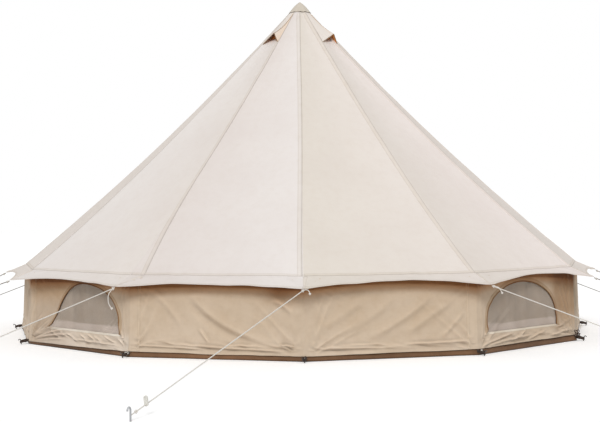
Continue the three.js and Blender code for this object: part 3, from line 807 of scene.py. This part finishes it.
# Folds of the cloth of a side, in metres: from and to (along the side and up it), width, height, bend.
FOLDS = {
    11: [
        (0.42, 0.5, 1.216, 0.1, 0.045, 0.015, -0.09), (0.4, 0.47, 1.1, 0.12, 0.035, -0.009, -0.1),
        (0.02, 0.085, 0.62, 0.065, 0.01, 0.011, 0.006), (0.35, 0.105, 1.26, 0.07, 0.011, 0.013, -0.006),
        (0.525, 0.225, 0.62, 0.1, 0.014, 0.009, 0.0), (0.71, 0.105, 0.95, 0.1, 0.01, 0.009, 0.0),
        (1.12, 0.11, 1.24, 0.09, 0.008, 0.012, 0.01), (1.05, 0.43, 1.25, 0.3, 0.025, 0.012, 0.02),
        (0.15, 0.5, 0.42, 0.2, 0.03, 0.007, 0.02),
    ],
    0: [
        (1.12, 0.42, 0.72, 0.16, 0.035, 0.01, 0.0), (0.98, 0.47, 0.42, 0.14, 0.035, 0.011, 0.03),
        (0.7, 0.45, 0.2, 0.16, 0.04, 0.009, 0.02), (0.45, 0.42, 0.08, 0.2, 0.035, 0.007, 0.0),
        (1.2, 0.33, 1.0, 0.12, 0.02, 0.007, 0.0), (0.7, 0.1, 1.24, 0.11, 0.012, 0.012, 0.0),
        (0.02, 0.085, 0.7, 0.075, 0.011, 0.011, 0.006), (0.1, 0.09, 0.6, 0.1, 0.012, 0.007, 0.01),
    ],
    10: [
        (0.04, 0.05, 0.34, 0.17, 0.012, 0.012, 0.01), (0.03, 0.07, 0.2, 0.26, 0.012, 0.01, 0.01),
        (0.06, 0.04, 0.62, 0.12, 0.011, 0.012, 0.015), (0.03, 0.04, 0.3, 0.22, 0.009, 0.01, 0.008),
        (0.03, 0.03, 0.46, 0.145, 0.009, 0.01, 0.012), (0.03, 0.02, 0.52, 0.075, 0.009, 0.01, 0.01),
        (0.5, 0.13, 0.72, 0.06, 0.01, 0.009, 0.0), (0.66, 0.135, 0.9, 0.06, 0.01, 0.009, 0.0),
        (0.85, 0.13, 1.05, 0.07, 0.01, 0.008, 0.0), (0.55, 0.08, 1.24, 0.07, 0.01, 0.011, 0.008),
        (1.2, 0.14, 1.29, 0.09, 0.01, 0.01, 0.0), (0.28, 0.145, 0.46, 0.07, 0.009, 0.008, 0.0),
        (0.4, 0.145, 0.56, 0.08, 0.008, 0.007, 0.0), (0.76, 0.14, 0.96, 0.075, 0.009, 0.008, 0.0),
        (0.98, 0.14, 1.16, 0.08, 0.009, 0.008, 0.0), (0.02, 0.1, 0.09, 0.36, 0.014, 0.008, 0.01),
    ],
    1: [
        (0.02, 0.06, 0.45, 0.13, 0.013, 0.013, 0.01), (0.02, 0.05, 0.75, 0.1, 0.012, 0.012, 0.012),
        (0.35, 0.07, 0.62, 0.14, 0.011, 0.01, 0.0), (0.6, 0.06, 0.9, 0.13, 0.011, 0.009, 0.0),
        (0.9, 0.07, 1.2, 0.11, 0.011, 0.012, 0.0), (1.0, 0.12, 1.26, 0.2, 0.013, 0.012, 0.0),
    ],
}
CRUMPLE = [
    (0.03, 0.2, 0.3, 0.08, 0.025, 0.016, 0.0), (0.02, 0.13, 0.22, 0.06, 0.014, 0.014, 0.0),
    (0.02, 0.26, 0.34, 0.2, 0.018, 0.01, 0.01),
]
FOLDS.update({4: FOLDS[10], 7: FOLDS[1], 2: FOLDS[0] + CRUMPLE, 3: FOLDS[11], 8: FOLDS[0], 9: FOLDS[11]})

# Creases that fan out from each corner of a side: the corner, their reach and height.
CORNER_FANS = [
    ((x, z), reach, size)
    for x in (0.0, SIDE) for z, reach, size in ((0.02, 0.42, 0.012), (WALL_TOP, 0.30, 0.005))
]


def wall_point(side, x, z, off):
    """A point of the wall: x metres along a side, z up it, off it by off."""
    s = x / SIDE
    radius = BASE + (HEM - BASE) * (z - GROUND) / (WALL_TOP - GROUND)
    point = lerp(corner(side, radius, z), corner(side + 1, radius, z), s)
    nearest = corner(side + np.round(s), 1 / math.cos(STEP / 2), 0)
    out = lerp(corner(side + 0.5, 1, 0), nearest, unit(np.abs(2 * s - 1) * 14 - 13))
    return point + out * off[..., None]


def wall_shape(side, x, z):
    """How far the cloth stands off the wall's plane: waves, folds, a roll at the foot and creases."""
    s = x / SIDE
    end = np.minimum(s, 1 - s)
    calm = CALM.get(side, 1.0)
    top = unit((WALL_TOP - z) / 0.1)
    low = unit(1 - (z - WALL_FOOT) / 0.15)
    off = -0.008 * np.sin(PI * s) * np.sin(PI * unit(z / WALL_TOP))
    off += 0.009 * clouds(x * 2.0 + side * 7, z * 2.6, 41 + side) * top
    off += 0.004 * clouds(x * 7 + z * 6 + side * 3, z * 7 - x * 2, 43) * top
    off += 0.004 * noise(x * 14 + side * 3, z * 2.2, 51) * unit(1 - (WALL_TOP - z) / 0.14)
    off += low * 0.010 * noise(x * 4 + side * 5, z * 24 + 0.8 * np.sin(x * 4), 61)
    off += low * 0.006 * noise(x * 13 + z * 10, z * 30 + side, 67)
    off = off * calm
    for *ends, width, height, bend in FOLDS[side]:
        off += calm * fold(x, z, ends, FOLD_WIDTH * width, FOLD_HEIGHT * height, bend)
    if side in (11, 0, 1):
        roll_at = 0.095 + 0.012 * noise(x * 2.3 + side * 5, 0.5, 63)
        roll = bell(z - roll_at, 0.02) * (0.6 + 0.7 * noise(x * 13 + z * 34 + side, z * 9, 65))
        off += 0.018 * roll * unit(end * 8)
    for (near_x, from_z), reach, size in CORNER_FANS:
        dx, dz = np.abs(x - near_x), np.abs(z - from_z)
        far, angle = np.hypot(dx, dz), np.arctan2(dz, dx + 1e-6)
        turn = 9 * angle + 2.2 * noise(angle * 3 + side * 1.7 + near_x, far * 2.5, 91) + side
        crease = size * (1 - 2 * np.abs(np.sin(turn))) * np.exp(-1.6 * far / reach)
        off += calm * crease * unit(far / 0.07) * top * unit(dx / 0.05)
    corner_pull = 0.004 * noise(x * 26, z * 3 + side, 71) * np.exp(-np.minimum(x, SIDE - x) / 0.09) * top
    off = off * unit(end * (10 + 14 * low)) + corner_pull * unit(end * 40) + 0.002
    foot = smooth(unit(1 - (z - WALL_FOOT) / 0.06))
    return off * (1 - foot) + (0.012 + 0.35 * np.abs(off)) * foot


def crease_tone(side, x, z):
    """Light on the ridges of the folds, and shade in their valleys."""
    step = 0.011
    around = sum(
        wall_shape(side, np.clip(x + a, 0, SIDE), z + b) for a in (step, -step) for b in (step, -step)
    )
    return 1 + np.clip(22 * (wall_shape(side, x, z) - around / 4), -0.3, 0.12)


def wall_shade(side, x, z):
    """Tone of the wall, painted light and shade: shade under the flap, deeper at the tips and beside corner
    0, shade on parts of sides 1, 2 and 10, a lighter patch low on side 10, and light from the ground at the
    foot, times the folds' light and shade.
    """
    share = x / SIDE
    below = 0.487 + (0.02 + tight(side)) * 4 * share * (1 - share) - z
    high = unit((z - 0.07) / 0.2)
    left = unit((0.66 - x) / 0.25) * unit(x / 0.1) * (side == 10)
    under = np.exp(-np.maximum(below, 0) / 0.006) * (1 - 0.5 * unit(-(below + 0.033) / 0.03))
    tip = np.exp(-np.minimum(x + (side == 10), SIDE - x) / 0.10) * unit((z - 0.35) / 0.12)
    # Painted shade on the far part of side 1.
    side_shade = unit((share - 0.72) / 0.08) * (0.85 + 0.15 * share) * high
    tone = 1
    # Rows: painted shade under the flap's edge in three bands, at the tips, beside corner 0 on side 11, on
    # the far part of side 1, at the start of side 2 and on the left of side 10 (deeper near its top); painted
    # light low on side 10, and painted light from the ground at the foot.
    for amount, colour in (
        (unit(1 - below / 0.147) ** 1.5, (-0.03, -0.07, -0.11)),
        (unit(1.15 - below / 0.055), (-0.16, -0.38, -0.55)),
        (under, (-0.50, -0.60, -0.70)),
        (tip, (-0.10, -0.16, -0.20)),
        (bell(SIDE - 0.17 - x, 0.11) * unit((z - 0.35) / 0.11) * (side == 11), (-0.34, -0.47, -0.58)),
        (side_shade * (side == 1), (-0.36, -0.47, -0.57)),
        (unit(1.2 - 1.6 * share) * high * (side == 2), (-0.36, -0.38, -0.44)),
        (left, (-0.13, -0.15, -0.16)),
        (left * unit((z - 0.3) / 0.12), (-0.08, -0.18, -0.30)),
        (unit((0.17 - z) / 0.04) * unit((x - 0.1) / 0.15) * (side == 10), (0.12, 0.17, 0.25)),
        (unit(1 - z / 0.24), (0.08, 0.11, 0.16)),
    ):
        tone = tone * (1 + amount[..., None] * np.array(colour))
    return tone * crease_tone(side, x, z)[..., None]


def foot_line(side, x):
    """Height of the cloth's foot along a side."""
    first, last = (STRIP.get(k % SIDES, 0.035) for k in (side, side + 1))
    waves = 0.003 * noise(x * 3.1 + side, side, 83) + 0.0022 * noise(x * 9, side, 85)
    return first + (last - first) * x / SIDE + waves * np.sin(PI * unit(x / SIDE))


def arch_ray(side, angle, grow=0.0):
    """Reach of a window's arch from its middle, in metres along and up the wall."""
    c, s = np.cos(angle), np.sin(angle)
    down = np.where(s < 0, (MID + grow) / np.maximum(-s, 1e-9), 9.0)
    a, b = WINDOW_W / 2 + grow, WINDOW_H - WINDOW_SIDE + grow
    flank = a / np.maximum(np.abs(c), 1e-9)
    rise = MID - WINDOW_SIDE
    qa = (c / a) ** 2 + (s / b) ** 2
    qb, qc = 2 * s * rise / b**2, (rise / b) ** 2 - 1
    root = (-qb + np.sqrt(np.maximum(qb**2 - 4 * qa * qc, 0))) / (2 * qa)
    t = np.where(MID + flank * s > WINDOW_SIDE, root, np.minimum(down, flank))
    x, z = c * t, MID + s * t
    if side in PULLED:
        x = np.where(x < 0, x * (1 - 0.36 * (1 - np.exp(-np.maximum(z, 0) / 0.12))), x)
    return stacked(x, z)


def window_ring(side, rings):
    """A side with a window, as rings from the window's arch out to the side's own outline."""
    mid_x, mid_z = WINDOW_AT[side], SILL + MID
    marks = [(x, z) for x in (-mid_x, SIDE - mid_x) for z in (-mid_z, WALL_TOP - mid_z)]
    marks += [(-WINDOW_W / 2, -MID), (WINDOW_W / 2, -MID)]
    mark_angles = [math.atan2(z, x) for x, z in marks]
    below = np.linspace(-PI + 0.35, -0.35, 320)
    angles = np.unique(np.round(joined(np.linspace(-PI, PI, 201)[:-1], below, mark_angles), 4))
    angles = np.append(angles, angles[0])
    arch = arch_ray(side, angles) + [mid_x, SILL]
    c, s = np.cos(angles), np.sin(angles)
    tx = np.where(c > 0, SIDE - mid_x, mid_x) / np.maximum(np.abs(c), 1e-9)
    tz = np.where(s > 0, WALL_TOP - mid_z, mid_z) / np.maximum(np.abs(s), 1e-9)
    t = np.minimum(tx, tz)
    outline = stacked(mid_x + c * t, mid_z + s * t)
    return lerp(arch[:, None], outline[:, None], rings[None, :])


def settle_foot(side, x, z):
    """Carry the cloth's lowest rows to its uneven foot."""
    foot = foot_line(side, x)
    return np.where(z < 0.12, foot + (0.12 - foot) * unit(z / 0.12), z)


sides, offset = [], 0
ring_steps = joined([0, 0.02, 0.05, 0.09], np.linspace(0.12, 1, 32))
edge_cols = np.array([0, 0.006, 0.015, 0.03, 0.05])
x_cols = SIDE * joined(edge_cols, np.linspace(0.07, 0.93, 120), [0.95, 0.97, 0.985, 0.994, 1])
z_rows = joined(np.linspace(WALL_TOP, 0.2, 40)[:-1], np.linspace(0.2, 0.0, 36))
for side in WALLED:
    if side in WINDOW_AT:
        x, z = np.moveaxis(window_ring(side, ring_steps), -1, 0)
    else:
        x, z = lattice(x_cols, z_rows)
    z = settle_foot(side, x, z)
    points = wall_point(side, x, z, wall_shape(side, x, z))
    uv = stacked(side * SIDE + x, z)
    faces = grid_faces(*x.shape) + offset
    sides.append((points.reshape(-1, 3), faces, uv.reshape(-1, 2), wall_shade(side, x, z).reshape(-1, 3)))
    offset += x.size
wall_points, wall_faces, wall_uv, wall_tint = map(np.concatenate, zip(*sides, strict=True))
wall = thicken("wall", wall_points, wall_faces, wall_uv, CLOTH_T, [wall_mat, wall_in], wall_tint)
piece(wall, "wall_canvas", nodes=["wall_canvas"])
area_of(wall_points, wall_faces)


def on_wall(side, flat, rise=0.0):
    """Points of the cloth's face at places (along, up) of a side, off it by rise."""
    x, z = np.moveaxis(flat, -1, 0)
    return wall_point(side, x, z, wall_shape(side, x, z) + rise)


def wall_tape(name, side, flat_at, half, along_share, mat, rise=0.0016):
    """A tape on the wall: flat_at(across, share) gives its points in metres along the side and up it."""
    tape(name, lambda a, t, up: on_wall(side, flat_at(a, t), up), half, along_share, mat, "wall_canvas",
         rise=rise, rest="wall", tone=lambda a, t: wall_shade(side, *np.moveaxis(flat_at(a, t), -1, 0)))


for side in WALLED:
    x = SEAM_AT if side > DOOR else SIDE - SEAM_AT
    foot = foot_line(side, x) + 0.004
    wall_tape(f"wall_seam_{side:02d}", side,
              lambda a, t: stacked(x - a, foot + (WALL_TOP - 0.006 - foot) * t),
              0.011, shares(60), tape_mat)

WEB = np.array([0.34, 0.36, 0.44])  # how much lighter a net is where its rolled cover backs it

for n, side in enumerate(HOODED, 1):
    mid_x = WINDOW_AT[side]
    sill_at = np.array([mid_x, SILL])

    def arch_at(grow):
        """Places on a tape round the window, grow metres outside its opening."""
        def flat_at(a, t):
            start = math.atan2(-MID, WINDOW_W / 2)
            angle = start + t * (PI - 2 * start)
            inner_edge, outer_edge = arch_ray(side, angle, grow), arch_ray(side, angle, grow + 0.01)
            return lerp(inner_edge, outer_edge, a * 100) + sill_at
        return flat_at

    outline = arch_ray(side, np.linspace(-PI, PI, 161), 0.012) + sill_at
    middle = sill_at + [0, MID]
    flat = lerp(middle[None, None], outline[:, None], shares(30)[None, :])
    x, z = np.moveaxis(flat, -1, 0)
    across, above = x - mid_x, z - SILL
    ripple = 0.004 * clouds(x * 6, z * 4, 71 + side) + 0.003 * noise(across * 20, z * 3, 73)
    band = unit((0.062 + 0.006 * noise(x * 6, side, 72) - above) / 0.006)
    streak = 0.06 * noise(across * 22 + z * 3, z * 2.5, 74) + 0.05 * clouds(x * 5 - z * 4, z * 3, 76)
    if side in PULLED:
        for step in (0.0, 0.055, 0.10):
            streak += 0.3 * bell(across - 0.25 - 1.1 * above - step, 0.009) * unit(1 - above / 0.16)
    cloth(f"net_{n}", on_wall(side, flat, ripple - 0.007), flat, 0.0006, [net_mat], "net",
          nodes=[f"window_net_{n}"], rests_on=["wall"], tint=(1 + streak)[..., None] + band[..., None] * WEB)
    share = shares(120)
    wall_tape(f"window_tape_{n}", side, arch_at(0.019), 0.012, share, arch_mat)
    wall_tape(f"window_zip_{n}", side, arch_at(0.003), 0.0042, share, bind_mat, rise=0.003)
    wall_tape(f"window_sill_{n}", side,
              lambda a, t: stacked(mid_x + (t - 0.5) * (WINDOW_W + 0.02), SILL - 0.004 - a),
              0.007, shares(60), sill_mat, rise=0.002)
    t, up = lattice(shares(60), np.linspace(1, 0, 12))
    tall = 0.052 + 0.008 * noise(t * 3, side, 75) - 0.02 * unit(t * 1.2 - 0.95)
    flat = stacked(mid_x + (t - 0.5) * 0.88, SILL - 0.004 + up * tall)
    puff = 0.004 * np.sin(up * PI * 3 + 2 * noise(t * 6, 0, 77)) + 0.002 * noise(t * 30, up * 4, 79)
    cloth(f"window_cover_{n}", on_wall(side, flat, puff - 0.016), flat, CLOTH_T, [cover_mat], "wall_canvas",
          held="folded", rests_on=[f"net_{n}"], flat=0.95)

# ---- Groundsheet with its turned-up edge, under the wall's foot ----

SHEET_T = 0.0012

# The edge from its lip down to the ground: radius beyond the corners, height, tone, place on the flat sheet.
# The tone is painted light and shade: darker at the top under the wall's foot, lighter in the middle, darker
# again at the ground.
LIP = np.array([
    (-0.014, 0.075, 0.8, 0.0),
    (-0.010, 0.06, 0.8, 0.016),
    (-0.004, 0.045, 0.9, 0.032),
    (0.004, 0.03, 1.15, 0.048),
    (0.007, 0.015, 1.3, 0.063),
    (0.008, 0.005, 0.9, 0.073),
    (0.004, 0.001, 0.6, 0.078),
])
BED = np.array([0.995, 0.98, 0.93, 0.8, 0.6, 0.4, 0.2, 0.002])  # shares of the radius

g_u = all_round(shares(33))
gu, gi = lattice(g_u, np.arange(len(LIP)))
rumple = 0.003 * noise(gu * 9, gi * 0.6, 87) + 0.002 * noise(gu * 31, gi * 0.4, 89)
skirt = along(gu % SIDES, 1.0, 0.0) * (BASE + LIP[gi, 0] + rumple)[..., None]
from_door = np.abs(gu - DOOR)
lip_share = 0.3 * unit((from_door - 0.49) / 0.04) + 0.7 * unit((from_door - 0.95) / 0.05)
wavy = LIP[gi, 1] + 0.0015 * noise(gu * 14, gi, 91) * (gi < 5)
skirt[..., 2] = wavy * lip_share + 0.0008 * (1 - lip_share)
fu, fr = lattice(g_u, BED)
bed = along(fu % SIDES, 1.0, 0.0) * (BASE * fr)[..., None]
bed[..., 2] = 0.0035 + 0.0008 * clouds(bed[..., 0] * 3, bed[..., 1] * 3, 81)
gv = joined(LIP[:, 3], np.linspace(0.09, 2.57, len(BED)))
ground_uv = stacked(g_u[:, None] * SIDE, gv)
# Along the edge: painted shade on side 10, lighter near the middle of side 11, and tone that differs at
# random.
edge_tone_and_shade = 1 + 0.35 * bell(g_u - 11.45, 0.4) - 0.45 * bell(g_u - 10.4, 0.4) + 0.12 * noise(g_u * 5, 0.5, 93)
sheet_tone = np.append(LIP[:, 2], np.ones(len(BED))) * edge_tone_and_shade[:, None]
cloth("ground_sheet", np.concatenate([skirt, bed], 1), ground_uv, SHEET_T, [sheet_mat], "groundsheet", "laid",
      nodes=["groundsheet"], flat=5.1, tint=sheet_tone[..., None] * np.ones(3))

# ---- Pegs and loops round the foot of the wall ----

TAIL = ROPE * 0.85  # radius of the loose ends and knots
DARK_KNOTS = (0, 2, 3, 9, 10)
LOOP_ROWS = np.array([0.011, 0.004, -0.004, -0.009])


def knot(name, place, size, mat, turn=0.0):
    t = np.linspace(0, 2 * PI, 49)
    x, y, z = np.sin(t) + 2 * np.sin(2 * t), np.cos(t) - 2 * np.cos(2 * t), -1.4 * np.sin(3 * t)
    c, s = math.cos(turn), math.sin(turn)
    shape = stacked(x * c - z * s, x * s + z * c, y) * size
    return piece(curve_object(name, place + shape, TAIL, mat, 3), "rope")


def foot_peg(k):
    """A steel pin with a hooked head, leaning out, and the webbing loop that it holds."""
    out, side_way = corner(k, 1, 0), corner(k + 3, 1, 0)
    lean = 0.25 + 0.2 * float(noise(k * 1.7, 0.3, 95))
    foot = out * (BASE + 0.062) + side_way * (0.012 * float(noise(k * 2.3, 0.9, 97)))
    t = shares(14)
    bend = np.where(t > 0.55, (t - 0.55) / 0.45, 0) * PI
    rise = np.minimum(t / 0.55, 1) * 0.032 + 0.009 * np.sin(bend)
    reach = lean * rise + 0.009 * (1 - np.cos(bend))
    pin = foot + out * reach[:, None] + UP * rise[:, None]
    piece(curve_object(f"foot_peg_{k:02d}", pin, 0.0034, peg_steel, 3), "steel")
    a, w = lattice(np.linspace(-1, 1, 25), LOOP_ROWS)
    bow = np.cos(a * PI / 2)
    points = out * (BASE + 0.004 + 0.07 * bow**0.6)[..., None]
    points += side_way * (0.016 * np.sin(a * PI / 2))[..., None] + UP * (0.03 - 0.012 * bow + w)[..., None]
    cloth(f"foot_loop_{k:02d}", points, stacked(a * 0.08, w), 0.0018, [loop_mat], "groundsheet",
          rests_on=[f"foot_peg_{k:02d}"])
    knot(f"foot_knot_{k:02d}", out * (BASE + 0.03) + side_way * 0.006 + UP * 0.03, 0.0044,
         dark_cord if k in DARK_KNOTS else rope_mat, k * STEP + 0.6)


for k in range(SIDES):
    foot_peg(k)
for label, along_wall, out_by, up, size, mat in (
    ("a", -0.05, 0.026, 0.075, 0.0075, dark_cord),
    ("b", 0.0, 0.04, 0.115, 0.0065, rope_mat),
    ("c", -0.02, 0.03, 0.05, 0.006, dark_cord),
):
    place = corner(2, BASE + out_by, up) + corner(5, along_wall, 0)
    knot(f"slack_cord_{label}", place, size, mat, 1.3 + up * 20)

# ---- Knots and loose ends of the ropes ----


def tail(tag, steps):
    """A loose end that hangs from the knot at a tip: steps in metres, right, outward and up."""
    start = guy_line(tag)[0]
    out, right = corner(GUYS[tag][0], 1, 0), np.array([1.0, 0, 0])
    marks = np.array([start + right * a + out * b + UP * c for a, b, c in [(0, 0, 0), *steps]])
    t = np.linspace(0, len(marks) - 1, 22)
    i = np.minimum(t.astype(int), len(marks) - 2)
    f = (t - i)[:, None]
    before, after = marks[np.maximum(i - 1, 0)], marks[np.minimum(i + 2, len(marks) - 1)]
    p0, p1 = marks[i], marks[i + 1]
    path = 0.5 * (2 * p0 + (p1 - before) * f + (2 * before - 5 * p0 + 4 * p1 - after) * f**2
                  + (3 * p0 - before - 3 * p1 + after) * f**3)
    obj = piece(curve_object(f"tail_{tag}", path, TAIL, rope_mat), "rope")
    end = knot(f"tail_{tag}_knot", path[-1], 0.0022, rope_mat, 0.7)


for tag, (k, *_) in GUYS.items():
    start, end, line = guy_line(tag)
    knot(f"tip_knot_{tag}", start + line * 0.018, 0.003, rope_mat, k * STEP)
    knot(f"peg_knot_{tag}", end - line * 0.05, 0.003, rope_mat, k * STEP + 1)
tail("11", [(-0.02, 0.012, -0.022), (-0.036, 0.014, -0.055), (-0.034, 0.012, -0.11), (-0.014, 0.01, -0.145)])
tail("02", [(0.02, 0.014, -0.006), (0.036, 0.016, -0.012), (0.05, 0.016, -0.03), (0.06, 0.016, -0.05)])
tail("01", [(0.012, 0.012, 0.002), (0.026, 0.014, 0.0), (0.036, 0.014, -0.012), (0.04, 0.014, -0.026)])

# ---- Door: side panels and the two flaps ----

LEG_OUT, HEAD = 0.62, 0.08  # from the door's middle to a leg's foot; length of the sewn head
door_foot = corner(DOOR, BASE, GROUND)
wall_foot = corner(DOOR - 1, BASE, GROUND)
foot_way = (wall_foot - door_foot) / np.linalg.norm(wall_foot - door_foot)
leg_foot = door_foot + foot_way * LEG_OUT
peak_under = PEAK - UP * (ROOF_T + CLEAR)
wall_head = corner(DOOR - 1, HEM, WALL_TOP)
zip_way, leg_way = ((peak_under - p) / np.linalg.norm(peak_under - p) for p in (door_foot, leg_foot))
head_zip, head_leg = peak_under - zip_way * HEAD, peak_under - leg_way * HEAD
GAP_X, GAP_Z, GAP_LEG = np.array([0.0005, 0, 0]), UP * 0.001, foot_way * 0.001
MIRROR = np.array([-1.0, 1, 1])


def panel_at(corners, mirrored, seed):
    """A door panel's surface between the head and foot of one edge and of the other."""
    a, b, c, d = corners
    n = np.cross(b - a, c - a)
    n *= np.sign(n[1]) / np.linalg.norm(n)
    tall, wide = np.linalg.norm(b - a), max(np.linalg.norm(c - a), np.linalg.norm(d - b))

    def surface(s, t, rise=0.0):
        inside = unit(np.minimum(np.minimum(s, 1 - s), np.minimum(t, 1 - t)) * 12)
        off = 0.007 * clouds(s * wide * 3, t * tall * 1.5, seed) - 0.005 * np.sin(PI * s) * np.sin(PI * t)
        off += 0.004 * noise(s * wide * 12, t * tall * 1.3, seed + 5) * unit(t * 1.2)
        points = lerp(lerp(a, b, t), lerp(c, d, t), s) + n * (off * inside - 0.001 + rise)[..., None]
        return points * MIRROR if mirrored else points
    return surface, tall, wide


def door_cloth(name, body, nodes, corners, cells, seed, mirrored):
    surface, tall, wide = panel_at(corners, mirrored, seed)
    s, t = lattice(np.linspace(0, 1, cells[0]), np.linspace(0, 1, cells[1]))
    points = surface(s, t)
    turned = normals_of(points.reshape(-1, 3), grid_faces(*cells)).mean(0)[1] < 0
    cloth(name, points, stacked(s * wide, -t * tall), CLOTH_T, [wall_mat, wall_in], "wall_canvas",
          "hung", body, nodes, rests_on=["roof"], flip=turned, flat=float(tall))
    return surface, -1 if turned else 1


for mirrored, hand in enumerate(("right", "left")):
    door_cloth(f"side_panel_{hand}", "tent", [f"door_side_{hand}"],
               [peak_under + GAP_LEG, leg_foot, wall_head, wall_foot], (50, 60), 91, mirrored)
    door_cloth(f"head_panel_{hand}", "tent", [],
               [head_zip + GAP_X, peak_under + GAP_X, head_leg, peak_under + GAP_X * 2],
               (10, 8), 93, mirrored)
    flap, sign = door_cloth(
        f"door_{hand}", f"door_{hand}", [f"door_flap_{hand}"],
        [head_zip + GAP_X - GAP_Z * 5, door_foot + GAP_X + GAP_Z,
         head_leg - GAP_LEG - GAP_Z * 5, leg_foot - GAP_LEG + GAP_Z], (36, 80), 95 + mirrored, mirrored)
    for label, at, mat in (("zip_tape", 0.014, bind_mat), ("hem", 0.05, tape_mat)):
        tape(f"door_{label}_{hand}",
             lambda a, t, up: flap(unit((at + sign * a) / (0.025 + 0.595 * t)), 0.01 + 0.98 * t, up),
             0.012, shares(60), mat, "wall_canvas", f"door_{hand}", rest=f"door_{hand}")

# ---- CAD nodes that show as they are ----

SHOWN = {
    steel: ["centre_pole_lower", "centre_pole_upper", "a_frame_leg_right", "a_frame_leg_left",
            "a_frame_crown", *(f"guy_peg_{tag}" for tag in GUYS)],
    white_plastic: [f"guy_runner_{tag}" for tag in GUYS],
    black: ["pole_foot", "pole_crown"],
    zip_metal: ["zip_pull"],
}
# These ropes keep the white rope; the rest take its darker copy, painted shade.
WHITE_ROPES = ("11", "01", "02", "door", "06", "07")

for mat, names in SHOWN.items():
    for name in names:
        for slot in bpy.data.objects[name].material_slots:
            slot.material = mat
for tag, rope in ropes.items():
    rope.data.materials.append(rope_mat if tag in WHITE_ROPES else shaded_rope)

# ---- Floor and light ----

WHITE = (1, 1, 1, 1)
WORLD_LEVEL, FLOOR_GLOW, FLOOR_REACH = 0.58, 0.32, 60.0


def floor_material():
    """A pale floor that keeps shadows and is a little lighter to the camera alone."""
    n = material("floor")
    diffuse = n.add("BsdfDiffuse", {"Color": (0.86, 0.86, 0.86, 1)}).outputs[0]
    seen = n.times(n.add("LightPath").outputs["Is Camera Ray"], FLOOR_GLOW)
    glow = n.add("Emission", {"Color": WHITE, "Strength": seen}).outputs[0]
    n.put(n.out, n.add("AddShader", {0: diffuse, 1: glow}).outputs[0])
    return n.owner


def make_world():
    """White to the camera and in what it sees mirrored or through glass; a plain level of light elsewhere."""
    n = Nodes(bpy.data.worlds.new("studio"), "ShaderNodeOutputWorld")
    path = n.add("LightPath").outputs
    seen = path["Is Camera Ray"]
    for ray in ("Is Glossy Ray", "Is Transmission Ray"):
        seen = n.math("MAXIMUM", seen, path[ray])
    level = n.span(seen, 0.0, 1.0, WORLD_LEVEL, 1.0)
    n.put(n.out, n.add("Background", {0: WHITE, 1: level}).outputs[0])
    scene.world = n.owner


def make_sun(energy, angle, towards):
    data = bpy.data.lights.new("sun", "SUN")
    data.energy, data.angle = energy, math.radians(angle)
    add_object("sun", data).rotation_euler = Vector(towards).to_track_quat("-Z", "Y").to_euler()


floor_corners = [(x * FLOOR_REACH, y * FLOOR_REACH, 0) for x, y in ((-1, -1), (1, -1), (1, 1), (-1, 1))]
mesh_object("floor", floor_corners, [(0, 1, 2, 3)], None, [floor_material()], smooth_faces=False)
make_world()
make_sun(1.45, 18, (0.06, 0.8, -0.58))
scene.view_settings.view_transform = "Standard"
